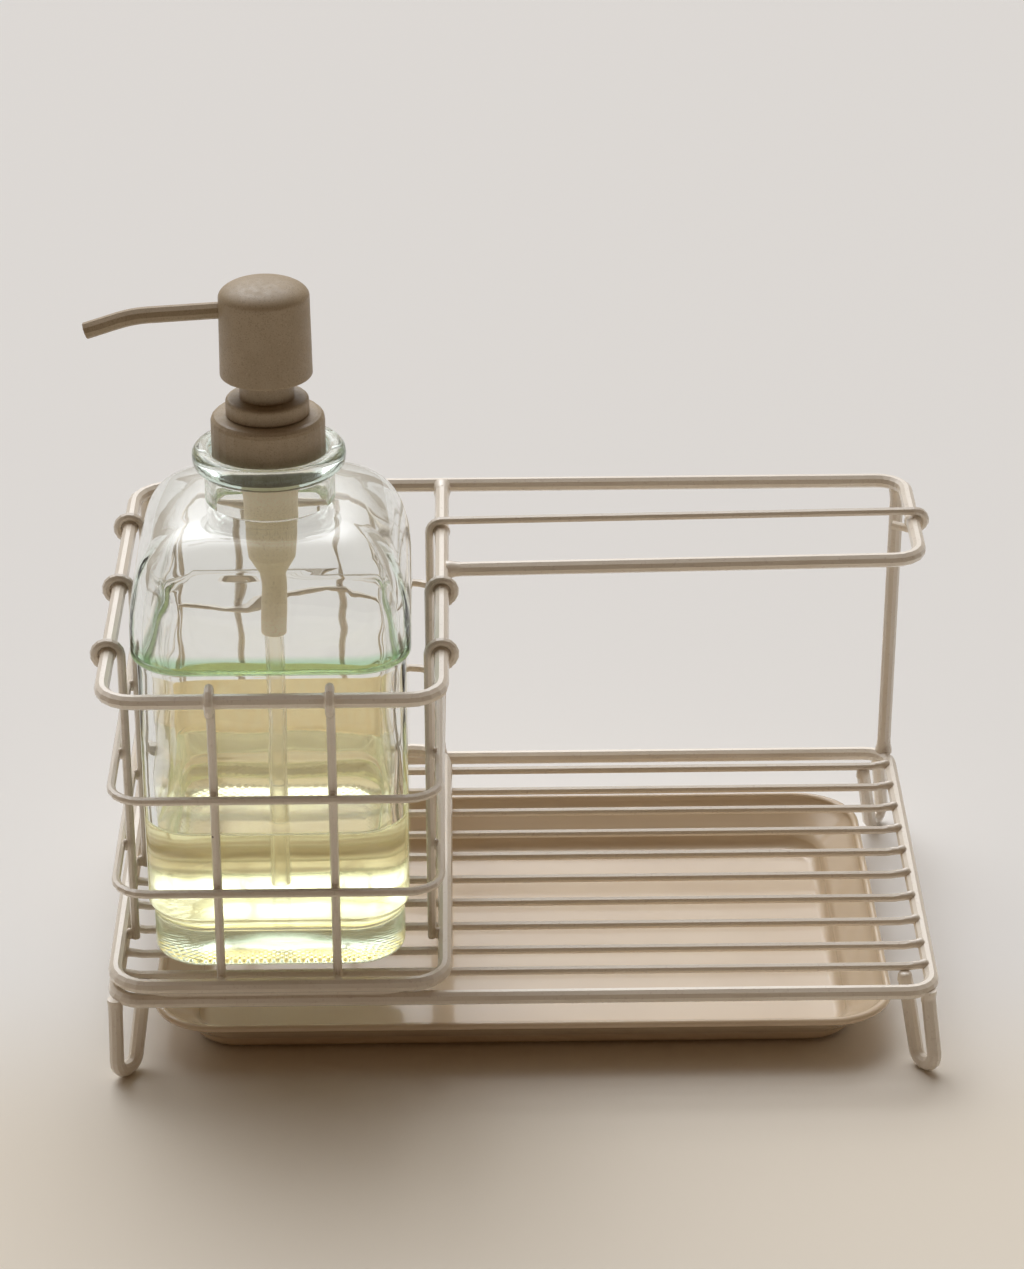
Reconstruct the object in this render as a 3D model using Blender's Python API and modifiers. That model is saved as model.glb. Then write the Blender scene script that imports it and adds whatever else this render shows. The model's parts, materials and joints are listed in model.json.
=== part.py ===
"""Soap dispenser caddy.

A bent-wire rack on four looped feet carries a square glass pump bottle in a basket, a towel loop and a sponge
shelf beside it, and a drip tray that slides out towards the front. Units are metres, +Z is up and -Y is the
front. Every piece is drawn about the middle of the rack's base ring, and one empty shifts the whole caddy so
that its bounding box stands centred on the origin.
"""

import math

import bmesh
import bpy
from mathutils import Vector

MM = 0.001
LEFTWARD = Vector((-1, 0, 0))
RIGHTWARD = Vector((1, 0, 0))
BACKWARD = Vector((0, 1, 0))
UPWARD = Vector((0, 0, 1))

# Clearances
SEAT_GAP = 0.3 * MM
HOOK_GAP = 0.4 * MM
GRID_END_GAP = 0.55 * MM
NOZZLE_SEAT_GAP = 0.36 * MM
CUTTER_OVERRUN = 2.0 * MM
WELD_DISTANCE = 0.001 * MM

# Wire stock: the facets round a wire are 4 plus twice its resolution
THICK_WIRE = 4.6 * MM
THIN_WIRE = 2.7 * MM
THICK_RESOLUTION = 3
THIN_RESOLUTION = 2
BEND_STEPS = 5
HOOK_STEPS = 10

# Rack plan, between wire centres
RACK_WIDTH = 250.0 * MM
RACK_DEPTH = 158.0 * MM
BASE_HEIGHT = 27.6 * MM
BASE_CORNER = 8.0 * MM
GRID_COUNT = 10
GRID_PITCH = 15.0 * MM
BASE_FLARE = 1.8 * MM
GRID_LIFT = 1.0 * MM
GRID_FRONT_SHIFT = 2.2 * MM
GRID_END_RUN = 4.0 * MM
GRID_END_RISE = 0.7 * MM

# Basket
BOTTLE_CLEARANCE = 8.45 * MM
BASKET_SEAT_DEPTH = 154.4 * MM
BASKET_CORNER = 11.0 * MM
HOOP_CORNER = 10.0 * MM
HOOP_LOWER_HEIGHT = 64.0 * MM
HOOP_UPPER_HEIGHT = 95.6 * MM
WIRE_FOOT_DROP = 1.5 * MM
FRONT_WIRE_SPREAD = 35.4 * MM
SIDE_WIRE_PITCH = 46.6 * MM
DIVIDER_WIRE_PITCH = 44.6 * MM
DIVIDER_WIRE_SHIFT = 3.8 * MM
HOOK_WRAP = math.radians(243)

# Top rail and towel loop
RAIL_HEIGHT = 129.1 * MM
RAIL_LEFT_INSET = 0.5 * MM
RAIL_FRONT_CORNER = 10.0 * MM
RAIL_REAR_CORNER = 13.0 * MM
TOWEL_REAR_CORNER = 9.0 * MM
TOWEL_FRONT_CORNER = 9.0 * MM
TOWEL_DEPTH = 62.8 * MM
TOWEL_SLANT = 4.0 * MM
TOWEL_FLARE = 3.2 * MM
TOWEL_TAPER = 0.8 * MM
TOWEL_BAR_WRAP_END = math.radians(-110)
TOWEL_BAR_TAIL = 5.0 * MM
TOWEL_BAR_DRIFT = 4.0 * MM
POST_REAR_INSET = 1.2 * MM
POST_LEFT_INSETS = (1.5 * MM, 3.8 * MM)
POST_LEFT_TOP_REAR_INSET = 3.8 * MM
POST_MIDDLE_INSETS = (2.3 * MM, 0)
POST_RIGHT_INSETS = (0.2 * MM, 1.2 * MM)

# Feet
FOOT_BEND = 4.0 * MM
FOOT_INNER_GAP = 0.95 * MM
FOOT_OUTER_GAP = 0.6 * MM
# How far each leg stands from the rack's middle, across and back: inner top, inner low, outer low, outer top
FOOT_PLACES = {
    "left": (
        (116.7 * MM, 66.5 * MM),
        (120.0 * MM, 73.5 * MM),
        (125.0 * MM, 80.5 * MM),
        (124.8 * MM, 77.4 * MM),
    ),
    "right": (
        (117.4 * MM, 67.3 * MM),
        (121.3 * MM, 75.5 * MM),
        (126.2 * MM, 83.0 * MM),
        (123.6 * MM, 77.4 * MM),
    ),
}

# Drip tray, measured over its rim
TRAY_WIDTH = 230.0 * MM
TRAY_DEPTH = 150.0 * MM
TRAY_HEIGHT = 15.4 * MM
TRAY_RIM_CORNER = 20.0 * MM
TRAY_FLOOR_CORNER = 12.0 * MM
TRAY_FLARE = 11.5 * MM
TRAY_WALL = 1.8 * MM
TRAY_HEEL = 4.0 * MM
TRAY_LIP = 1.2 * MM
TRAY_CORNER_STEPS = 5
TRAY_HEEL_STEPS = 3

# Bottle, over the glass
BODY_WIDTH = 80.6 * MM
SHOULDER_OVERHANG = 1.7 * MM
HEEL_INSET = 1.6 * MM
BOTTLE_FRONT_CLEARANCE = 10.6 * MM
BOTTLE_LEFT_OFFSET = 0.5 * MM
BODY_CORNER = 16.0 * MM
HEEL_FILLET = 3.0 * MM
HEEL_HEIGHT = 16.0 * MM
HEEL_STEP = 3.0 * MM
BODY_TOP = 101.0 * MM
SHOULDER_STEP = 2.4 * MM
SHOULDER_BAND = 4.0 * MM
DOME_TOP = 142.0 * MM
DOME_SIDE_POWER = 0.56
DOME_TOP_POWER = 0.9
DOME_PLAN_POWER = 0.5
DOME_STEPS = 8
NECK_RADIUS = 19.6 * MM
NECK_TOP = 151.4 * MM
LIP_RADIUS = 23.1 * MM
LIP_HEIGHT = 7.0 * MM
LIP_STEPS = 6
BORE_RADIUS = 17.6 * MM
GLASS_WALL = 4.0 * MM
GLASS_BASE = 11.0 * MM
GLASS_BASE_FILLET = 6.0 * MM
GLASS_CORNER_STEPS = 6
SOAP_LEVEL = 49.6 * MM
SOAP_TUBE_CLEARANCE = 0.5 * MM

# Pump closure, heights above the lip of the bottle are positive
COLLAR_RADIUS = 17.1 * MM
COLLAR_PLUG_DEPTH = 5.5 * MM
COLLAR_RISE = 10.2 * MM
COLLAR_WALL = 2.0 * MM
COLLAR_TOP_WALL = 2.5 * MM
COLLAR_ROUNDING = 2.0 * MM
RETAINER_RADIUS = 12.5 * MM
RETAINER_HEIGHT = 5.0 * MM
RETAINER_ROUNDING = 1.2 * MM
CHIMNEY_RADIUS = 8.2 * MM
CHIMNEY_HEIGHT = 12.0 * MM
RETAINER_BOSS_RADIUS = 8.6 * MM
RETAINER_BOSS_DEPTH = 6.2 * MM
COLLAR_HOLE_RADIUS = 9.0 * MM
GASKET_THICKNESS = 1.4 * MM
FLANGE_THICKNESS = 1.8 * MM

# Pump cylinder, rod and valve
CYLINDER_RADIUS = 8.2 * MM
CYLINDER_BORE_RADIUS = 6.0 * MM
CYLINDER_TAPER_START = 24.0 * MM
CYLINDER_TAPER_END = 34.8 * MM
CYLINDER_TAPER_RADIUS = 7.2 * MM
CYLINDER_CONE_END = 40.8 * MM
CYLINDER_END = 61.8 * MM
INLET_RADIUS = 4.05 * MM
INLET_WALL = 1.35 * MM
BALL_RADIUS = 2.3 * MM
BALL_SEAT_RADIUS = 1.5 * MM
BALL_SEAT_HEIGHT = 1.7 * MM
BALL_SEAT_DEPTH = 49.5 * MM
BALL_SEAT_WALL = 2.3 * MM
DIP_TUBE_RADIUS = 3.0 * MM
DIP_TUBE_BORE_RADIUS = 2.0 * MM
DIP_TUBE_FLOOR_GAP = 4.5 * MM
ROD_RADIUS = 3.5 * MM
ROD_BORE_RADIUS = 1.5 * MM
ROD_RUNNING_GAP = 0.4 * MM
ROD_FLANGE_RADIUS = 5.0 * MM
ROD_FLANGE_THICKNESS = 1.7 * MM
ROD_SHOULDER_RADIUS = 4.4 * MM
PISTON_HEIGHT = 7.0 * MM
PISTON_WAIST = 0.6 * MM
PISTON_LAND = 1.6 * MM
SPRING_RADIUS = 4.6 * MM
SPRING_WIRE = 0.9 * MM
SPRING_TURNS = 7
SPRING_POINTS_PER_TURN = 10
SPRING_RESOLUTION = 1
SPRING_LENGTH = 18.9 * MM
SPRING_LEDGE_WALL = 1.2 * MM

# Pump head and nozzle
HEAD_RADIUS = 13.8 * MM
HEAD_LIFT = 22.4 * MM
HEAD_HEIGHT = 29.5 * MM
HEAD_CROWN = 3.6 * MM
HEAD_EDGE = 1.8 * MM
HEAD_EDGE_START = 72
HEAD_FOOT_ROUNDING = 0.8 * MM
HEAD_SKIRT_WALL = 0.95 * MM
HEAD_CAVITY = 17.0 * MM
HEAD_SOCKET_DEPTH = 5.6 * MM
CROWN_STEPS = 4
NOZZLE_RADIUS = 2.5 * MM
NOZZLE_BORE_RADIUS = 1.6 * MM
NOZZLE_DROP = 9.1 * MM
NOZZLE_SEAT_DEPTH = 5.6 * MM
NOZZLE_REACH = 52.9 * MM
NOZZLE_BEND_START = 34.0 * MM
NOZZLE_ROOT_ANGLE = math.radians(3.5)
NOZZLE_TIP_ANGLE = math.radians(18)
NOZZLE_BEND_STEPS = 6
NOZZLE_RESOLUTION = 3

TURN_STEPS = 32
EDGE_STEPS = 3
BALL_SEGMENTS = 16
BALL_RINGS = 8

# Sizes and places that follow from the sizes above
SHOULDER_WIDTH = BODY_WIDTH + 2 * SHOULDER_OVERHANG
HEEL_WIDTH = BODY_WIDTH - 2 * HEEL_INSET
BASKET_WIDTH = SHOULDER_WIDTH + 2 * BOTTLE_CLEARANCE
LEFT = -RACK_WIDTH / 2
RIGHT = RACK_WIDTH / 2
FRONT = -RACK_DEPTH / 2
BACK = RACK_DEPTH / 2
DIVIDER = LEFT + BASKET_WIDTH
RAIL_LEFT = LEFT + RAIL_LEFT_INSET
TOWEL_RIGHT = RIGHT + TOWEL_FLARE
TOWEL_FRONT = BACK - TOWEL_DEPTH
BUTT_GAP = THICK_WIRE / 2 + SEAT_GAP
HOOK_REACH = (THICK_WIRE + THIN_WIRE) / 2 + HOOK_GAP
HOOP_INSET = HOOK_REACH - THIN_WIRE - SEAT_GAP
BASKET_SEAT_HEIGHT = BASE_HEIGHT + THICK_WIRE + SEAT_GAP
BASKET_MIDDLE = LEFT + BASKET_WIDTH / 2
GRID_HEIGHT = BASE_HEIGHT + GRID_LIFT
RACK_TOP_OF_BASE = BASE_HEIGHT + THICK_WIRE / 2 + SEAT_GAP
BOTTLE_SETBACK = SHOULDER_WIDTH / 2 + BOTTLE_FRONT_CLEARANCE
BOTTLE_SEAT_HEIGHT = GRID_HEIGHT + THIN_WIRE / 2 + SEAT_GAP
BOTTLE_PLACE = Vector((BASKET_MIDDLE - BOTTLE_LEFT_OFFSET, FRONT + BOTTLE_SETBACK, BOTTLE_SEAT_HEIGHT))
LIP_TOP = NECK_TOP + LIP_HEIGHT
PUMP_PLACE = BOTTLE_PLACE + LIP_TOP * UPWARD


def clear_scene():
    for item in list(bpy.data.objects):
        bpy.data.objects.remove(item, do_unlink=True)


def make_material(name, colour, roughness, metallic=0.0, transmission=0.0):
    material = bpy.data.materials.new(name)
    material.use_nodes = True
    shader = material.node_tree.nodes["Principled BSDF"]
    shader.inputs["Base Color"].default_value = (*colour, 1)
    shader.inputs["Roughness"].default_value = roughness
    shader.inputs["Metallic"].default_value = metallic
    shader.inputs["Transmission Weight"].default_value = transmission
    return material


def add_collection(name):
    collection = bpy.data.collections.new(name)
    bpy.context.scene.collection.children.link(collection)
    return collection


def add_empty(name, collection, place, parent=None):
    empty = bpy.data.objects.new(name, None)
    empty.location = place
    empty.parent = parent
    collection.objects.link(empty)
    return empty


class Group:
    """One rigid group of pieces: where it is parented and what it is made of."""

    def __init__(self, collection, parent, material):
        self.collection = collection
        self.parent = parent
        self.material = material

    def add(self, name, data, place=None):
        piece = bpy.data.objects.new(name, data)
        piece.location = place or Vector()
        piece.parent = self.parent
        data.materials.clear()
        data.materials.append(self.material)
        self.collection.objects.link(piece)
        return piece


def spaced(start, end, steps):
    return [start + (end - start) * i / steps for i in range(steps + 1)]


def arc(centre, radius, start, end, steps, across, along):
    """Points about a centre, in the plane of two unit vectors: across is angle 0, along is a quarter turn."""
    return [
        centre + radius * (math.cos(angle) * across + math.sin(angle) * along)
        for angle in spaced(start, end, steps)
    ]


def corner_bend(before, corner, after, radius):
    """Points on the bend that rounds the corner between two straight runs of wire."""
    to_before = (before - corner).normalized()
    to_after = (after - corner).normalized()
    half_angle = to_before.angle(to_after) / 2
    centre = corner + (to_before + to_after).normalized() * (radius / math.sin(half_angle))
    setback = radius / math.tan(half_angle)
    first = corner + to_before * setback - centre
    last = corner + to_after * setback - centre
    turn = math.pi - 2 * half_angle
    return [
        centre + (math.sin((1 - share) * turn) * first + math.sin(share * turn) * last) / math.sin(turn)
        for share in spaced(0, 1, BEND_STEPS)
    ]


def bent_route(corners, radii, closed=False):
    """A wire's centre line through its corners, each bent to its own radius; an open route has plain ends."""
    count = len(corners)
    route = [] if closed else [corners[0]]
    bends = range(count) if closed else range(1, count - 1)
    for place, radius in zip(bends, radii):
        route += corner_bend(corners[place - 1], corners[place], corners[(place + 1) % count], radius)
    return route if closed else route + [corners[-1]]


def wire_curve(name, route, diameter, resolution, closed=False):
    curve = bpy.data.curves.new(name, "CURVE")
    curve.dimensions = "3D"
    curve.bevel_depth = diameter / 2
    curve.bevel_resolution = resolution
    curve.use_fill_caps = not closed
    spline = curve.splines.new("POLY")
    spline.points.add(len(route) - 1)
    for point, place in zip(spline.points, route):
        point.co = (*place, 1)
    spline.use_cyclic_u = closed
    spline.use_smooth = True
    return curve


def thick_wire(group, name, route, closed=False):
    return group.add(name, wire_curve(name, route, THICK_WIRE, THICK_RESOLUTION, closed))


def thin_wire(group, name, route, closed=False):
    return group.add(name, wire_curve(name, route, THIN_WIRE, THIN_RESOLUTION, closed))


def welded_copy(group, name, curve_object):
    """The curve's evaluated mesh as an object of its own, with its loose caps welded on."""
    graph = bpy.context.evaluated_depsgraph_get()
    mesh = bpy.data.meshes.new_from_object(curve_object.evaluated_get(graph))
    place = curve_object.location.copy()
    bpy.data.objects.remove(curve_object, do_unlink=True)
    shape = bmesh.new()
    shape.from_mesh(mesh)
    bmesh.ops.remove_doubles(shape, verts=shape.verts, dist=WELD_DISTANCE)
    shape.to_mesh(mesh)
    shape.free()
    return group.add(name, mesh, place)


def shade_round(mesh, edge_angle=math.radians(35)):
    mesh.shade_smooth()
    mesh.set_sharp_from_angle(angle=edge_angle)


def turned(group, name, profile, place, closed=True):
    """A piece turned about Z from (radius, height) points that run down its outer side."""
    mesh = bpy.data.meshes.new(name)
    shape = bmesh.new()
    points = [shape.verts.new((radius, 0, height)) for radius, height in profile]
    for first, second in zip(points, points[1:]):
        shape.edges.new((first, second))
    if closed:
        shape.edges.new((points[-1], points[0]))
    shape.to_mesh(mesh)
    shape.free()
    piece = group.add(name, mesh, place)
    screw = piece.modifiers.new("turn", "SCREW")
    screw.axis = "Z"
    screw.angle = math.tau
    screw.steps = TURN_STEPS
    screw.render_steps = TURN_STEPS
    screw.use_merge_vertices = True
    screw.merge_threshold = WELD_DISTANCE
    screw.use_smooth_shade = True
    return piece


def rounding(centre_radius, centre_height, radius, start, end, steps=EDGE_STEPS):
    """(radius, height) points on a rounded edge of a turned profile, for angles in degrees."""
    return [
        (
            centre_radius + radius * math.cos(math.radians(angle)),
            centre_height + radius * math.sin(math.radians(angle)),
        )
        for angle in spaced(start, end, steps)
    ]


def rounded_ring(half_width, half_depth, corner, height, steps):
    """Points round a rectangle with rounded corners, anticlockwise seen from above."""
    ring = []
    for quarter, (side_x, side_y) in enumerate(((1, 1), (-1, 1), (-1, -1), (1, -1))):
        centre = Vector((side_x * (half_width - corner), side_y * (half_depth - corner), height))
        start = quarter * math.pi / 2
        ring += arc(centre, corner, start, start + math.pi / 2, steps, RIGHTWARD, BACKWARD)
    return ring


def loft(group, name, rings, place, closed=False):
    """A skin over rings of equally many points, capped at both ends or joined back to its first ring."""
    mesh = bpy.data.meshes.new(name)
    shape = bmesh.new()
    rows = [[shape.verts.new(point) for point in ring] for ring in rings]
    pairs = list(zip(rows, rows[1:]))
    if closed:
        pairs.append((rows[-1], rows[0]))
    else:
        shape.faces.new(rows[0])
        shape.faces.new(rows[-1])
    for low, high in pairs:
        for i in range(len(low)):
            shape.faces.new((low[i - 1], low[i], high[i], high[i - 1]))
    bmesh.ops.remove_doubles(shape, verts=shape.verts, dist=WELD_DISTANCE)
    bmesh.ops.recalc_face_normals(shape, faces=shape.faces)
    shape.to_mesh(mesh)
    shape.free()
    shade_round(mesh)
    return group.add(name, mesh, place)


def flat_loop(left, right, front, back, height):
    """Corners of a level loop, from its front right corner round by the front and the left."""
    places = ((right, front), (left, front), (left, back), (right, back))
    return [Vector((x, y, height)) for x, y in places]


def make_base(rack):
    corners = flat_loop(LEFT, RIGHT, FRONT, BACK, BASE_HEIGHT)
    corners[-1].x += BASE_FLARE
    thick_wire(rack, "base_ring", bent_route(corners, [BASE_CORNER] * len(corners), closed=True), closed=True)
    setback = THICK_WIRE / 2 + GRID_END_GAP
    for i in range(GRID_COUNT):
        y = (i - (GRID_COUNT - 1) / 2) * GRID_PITCH + (0 if i else GRID_FRONT_SHIFT)
        end = RIGHT + BASE_FLARE * (y - FRONT) / RACK_DEPTH - setback
        route = [
            Vector((LEFT + setback, y, GRID_HEIGHT + GRID_END_RISE)),
            Vector((LEFT + setback + GRID_END_RUN, y, GRID_HEIGHT)),
            Vector((end - GRID_END_RUN, y, GRID_HEIGHT)),
            Vector((end, y, GRID_HEIGHT + GRID_END_RISE)),
        ]
        thin_wire(rack, f"grid_wire_{i + 1:02d}", route)


def make_feet(rack):
    """Each foot is a loop: its outer leg stands under a corner of the base, its inner leg inside the side."""
    inner_top = GRID_HEIGHT - THIN_WIRE / 2 - FOOT_INNER_GAP
    outer_top = BASE_HEIGHT - THICK_WIRE / 2 - FOOT_OUTER_GAP
    heights = (inner_top, THICK_WIRE / 2, THICK_WIRE / 2, outer_top)
    for depth_name, side_y in (("front", -1), ("rear", 1)):
        for width_name, side_x in (("left", -1), ("right", 1)):
            route = [
                Vector((side_x * across, side_y * back, height))
                for (across, back), height in zip(FOOT_PLACES[width_name], heights)
            ]
            thick_wire(rack, f"foot_{depth_name}_{width_name}", bent_route(route, [FOOT_BEND, FOOT_BEND]))


def make_hoops(rack):
    corners = flat_loop(LEFT, DIVIDER, FRONT, FRONT + BASKET_SEAT_DEPTH, BASKET_SEAT_HEIGHT)
    route = bent_route(corners, [BASKET_CORNER] * len(corners), closed=True)
    thick_wire(rack, "basket_base_ring", route, closed=True)
    for name, height in (("basket_hoop_lower", HOOP_LOWER_HEIGHT), ("basket_hoop_upper", HOOP_UPPER_HEIGHT)):
        corners = flat_loop(
            RAIL_LEFT + HOOP_INSET, DIVIDER - HOOP_INSET, FRONT + HOOP_INSET, BACK - HOOK_REACH, height
        )
        thin_wire(rack, name, bent_route(corners, [HOOP_CORNER] * len(corners), closed=True), closed=True)


def hooked_wire(rack, name, rail_x, rail_y, inward):
    """An upright inside the rail that hooks over it and ends outside, below the rail's middle."""
    over = Vector((rail_x, rail_y, RAIL_HEIGHT))
    foot = over + HOOK_REACH * inward
    foot.z = BASKET_SEAT_HEIGHT - WIRE_FOOT_DROP
    hook = arc(over, HOOK_REACH, 0, HOOK_WRAP, HOOK_STEPS, inward, UPWARD)
    thin_wire(rack, name, [foot] + hook)


def make_basket_wires(rack):
    for name, side in (("left", -1), ("right", 1)):
        x = BASKET_MIDDLE + side * FRONT_WIRE_SPREAD / 2
        hooked_wire(rack, f"front_wire_{name}", x, FRONT, BACKWARD)
        rear = Vector((x, BACK - HOOK_REACH + THIN_WIRE + SEAT_GAP, BASKET_SEAT_HEIGHT + BUTT_GAP))
        top = Vector((rear.x, rear.y, RAIL_HEIGHT - BUTT_GAP))
        thin_wire(rack, f"rear_wire_{name}", [rear, top])
    for name, step in (("front", -1), ("middle", 0), ("rear", 1)):
        hooked_wire(rack, f"left_wire_{name}", RAIL_LEFT, step * SIDE_WIRE_PITCH, RIGHTWARD)
        if step < 1:
            y = step * DIVIDER_WIRE_PITCH - DIVIDER_WIRE_SHIFT
            hooked_wire(rack, f"divider_wire_{name}", DIVIDER, y, LEFTWARD)


def make_towel_bar(rack):
    """The rear divider upright runs on over the divider as the middle towel bar and wraps the outer rail."""
    y = DIVIDER_WIRE_PITCH - DIVIDER_WIRE_SHIFT
    divider = Vector((DIVIDER, y, RAIL_HEIGHT))
    outer = Vector((TOWEL_RIGHT - TOWEL_TAPER / 2, y + TOWEL_SLANT, RAIL_HEIGHT))
    foot = Vector((DIVIDER - HOOK_REACH, y, BASKET_SEAT_HEIGHT - WIRE_FOOT_DROP))
    rise = arc(divider, HOOK_REACH, math.pi, math.pi / 2, HOOK_STEPS // 2, RIGHTWARD, UPWARD)
    wrap = arc(outer, HOOK_REACH, math.pi / 2, TOWEL_BAR_WRAP_END, HOOK_STEPS, RIGHTWARD, UPWARD)
    wrap = [point + TOWEL_BAR_DRIFT * i / HOOK_STEPS * BACKWARD for i, point in enumerate(wrap)]
    tail = (wrap[-1] - wrap[-2]).normalized()
    thin_wire(rack, "towel_bar_middle", [foot] + rise + wrap + [wrap[-1] + TOWEL_BAR_TAIL * tail])


def make_top_rail(rack):
    """One wire: the divider, the basket's front and left, the whole back, then round the towel loop."""
    places = (
        (DIVIDER, BACK - BUTT_GAP),
        (DIVIDER, FRONT),
        (RAIL_LEFT, FRONT),
        (RAIL_LEFT, BACK),
        (TOWEL_RIGHT, BACK),
        (TOWEL_RIGHT - TOWEL_TAPER, TOWEL_FRONT),
        (DIVIDER + BUTT_GAP, TOWEL_FRONT - TOWEL_SLANT),
    )
    corners = [Vector((x, y, RAIL_HEIGHT)) for x, y in places]
    radii = [RAIL_FRONT_CORNER] * 2 + [RAIL_REAR_CORNER, TOWEL_REAR_CORNER, TOWEL_FRONT_CORNER]
    thick_wire(rack, "top_rail", bent_route(corners, radii))
    left, middle, right = POST_LEFT_INSETS, POST_MIDDLE_INSETS, POST_RIGHT_INSETS
    rear = BACK - POST_REAR_INSET
    posts = {
        "left": ((LEFT + left[0], rear), (LEFT + left[1], BACK - POST_LEFT_TOP_REAR_INSET)),
        "middle": ((DIVIDER - middle[0], BACK), (DIVIDER - middle[1], BACK)),
        "right": ((RIGHT + right[0], rear), (RIGHT + right[1], rear)),
    }
    for name, (low, high) in posts.items():
        ends = [Vector((*low, RACK_TOP_OF_BASE)), Vector((*high, RAIL_HEIGHT - BUTT_GAP))]
        thick_wire(rack, f"rear_post_{name}", ends)


def tray_ring(inset, height):
    """One level of the tray: its corners tighten as it draws in from the rim."""
    tightening = (TRAY_RIM_CORNER - TRAY_FLOOR_CORNER) / (TRAY_FLARE + TRAY_HEEL)
    corner = TRAY_RIM_CORNER - inset * tightening
    return rounded_ring(TRAY_WIDTH / 2 - inset, TRAY_DEPTH / 2 - inset, corner, height, TRAY_CORNER_STEPS)


def make_tray(group):
    """A shallow dish with flared walls, a rounded heel and a rolled lip."""
    rim_height = TRAY_HEIGHT - TRAY_LIP
    inner_flare = TRAY_FLARE + TRAY_WALL
    outside = [(TRAY_FLARE + TRAY_HEEL - TRAY_HEEL * math.sin(a), TRAY_HEEL * (1 - math.cos(a)))
               for a in spaced(0, math.pi / 2, TRAY_HEEL_STEPS)]
    lip = [
        (TRAY_LIP - TRAY_LIP * math.cos(angle), rim_height + TRAY_LIP * math.sin(angle))
        for angle in spaced(0, math.pi, EDGE_STEPS + 1)
    ]
    inside = [(inner_flare + TRAY_HEEL - TRAY_HEEL * math.sin(a), TRAY_WALL + TRAY_HEEL * (1 - math.cos(a)))
              for a in spaced(math.pi / 2, 0, TRAY_HEEL_STEPS)]
    under_lip = (TRAY_LIP, rim_height - TRAY_LIP)
    profile = outside + [under_lip] + lip + [(TRAY_LIP + TRAY_WALL, rim_height - TRAY_LIP)] + inside
    loft(group, "drip_tray", [tray_ring(inset, height) for inset, height in profile], Vector())


def dome_ring(shoulder, neck, corner, foot, top, angle):
    """One level of the bottle's shoulder, from a rounded square at its foot to a circle at its neck."""
    half = neck + (shoulder - neck) * math.cos(angle) ** DOME_SIDE_POWER
    height = foot + (top - foot) * math.sin(angle) ** DOME_TOP_POWER
    flat = (1 - corner / shoulder) * math.cos(angle) ** DOME_PLAN_POWER
    return half, half * (1 - flat), height


def make_bottle(group):
    """The glass: a square body between a wider shoulder and a narrower heel, a domed top and a thick lip."""
    body, shoulder, heel = BODY_WIDTH / 2, SHOULDER_WIDTH / 2, HEEL_WIDTH / 2
    band_foot = BODY_TOP + SHOULDER_STEP
    dome_foot = band_foot + SHOULDER_BAND
    outside = [
        (heel - HEEL_FILLET * (1 - math.sin(a)), BODY_CORNER, HEEL_FILLET * (1 - math.cos(a)))
        for a in spaced(0, math.pi / 2, EDGE_STEPS)
    ]
    outside += [(heel, BODY_CORNER, HEEL_HEIGHT), (body, BODY_CORNER, HEEL_HEIGHT + HEEL_STEP)]
    outside += [(body, BODY_CORNER, BODY_TOP), (shoulder, BODY_CORNER, band_foot)]
    angles = spaced(0, math.pi / 2, DOME_STEPS)
    outside += [dome_ring(shoulder, NECK_RADIUS, BODY_CORNER, dome_foot, DOME_TOP, a) for a in angles]
    roll = LIP_HEIGHT / 2
    lip_middle = LIP_RADIUS - roll
    for angle in spaced(-math.pi / 2, math.pi / 2, LIP_STEPS):
        radius = lip_middle + roll * math.cos(angle)
        outside.append((radius, radius, NECK_TOP + roll + roll * math.sin(angle)))
    bore_top = LIP_TOP - (lip_middle - BORE_RADIUS) / 2
    inside = [(BORE_RADIUS, BORE_RADIUS, bore_top)]
    inner, inner_corner = body - GLASS_WALL, BODY_CORNER - GLASS_WALL
    inner_foot = dome_foot - GLASS_WALL
    for angle in reversed(angles):
        inside.append(
            dome_ring(inner, BORE_RADIUS, inner_corner, inner_foot, DOME_TOP - GLASS_WALL, angle)
        )
    for angle in spaced(math.pi / 2, 0, EDGE_STEPS):
        half = inner - GLASS_BASE_FILLET * (1 - math.sin(angle))
        inside.append((half, inner_corner, GLASS_BASE + GLASS_BASE_FILLET * (1 - math.cos(angle))))
    rings = [rounded_ring(half, half, corner, z, GLASS_CORNER_STEPS) for half, corner, z in outside + inside]
    loft(group, "glass_bottle", rings, BOTTLE_PLACE)


def make_soap(group):
    """The liquid fills the glass to its level and leaves a way through for the dip tube."""
    half = BODY_WIDTH / 2 - GLASS_WALL - SEAT_GAP
    corner = BODY_CORNER - GLASS_WALL - SEAT_GAP
    floor = GLASS_BASE + SEAT_GAP
    hole = DIP_TUBE_RADIUS + SOAP_TUBE_CLEARANCE
    levels = [
        (half - GLASS_BASE_FILLET * (1 - math.sin(a)), corner, floor + GLASS_BASE_FILLET * (1 - math.cos(a)))
        for a in spaced(0, math.pi / 2, EDGE_STEPS)
    ]
    levels += [(half, corner, SOAP_LEVEL), (hole, hole, SOAP_LEVEL), (hole, hole, floor)]
    rings = [rounded_ring(h, h, c, z, GLASS_CORNER_STEPS) for h, c, z in levels]
    loft(group, "liquid_soap", rings, BOTTLE_PLACE, closed=True)


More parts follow.
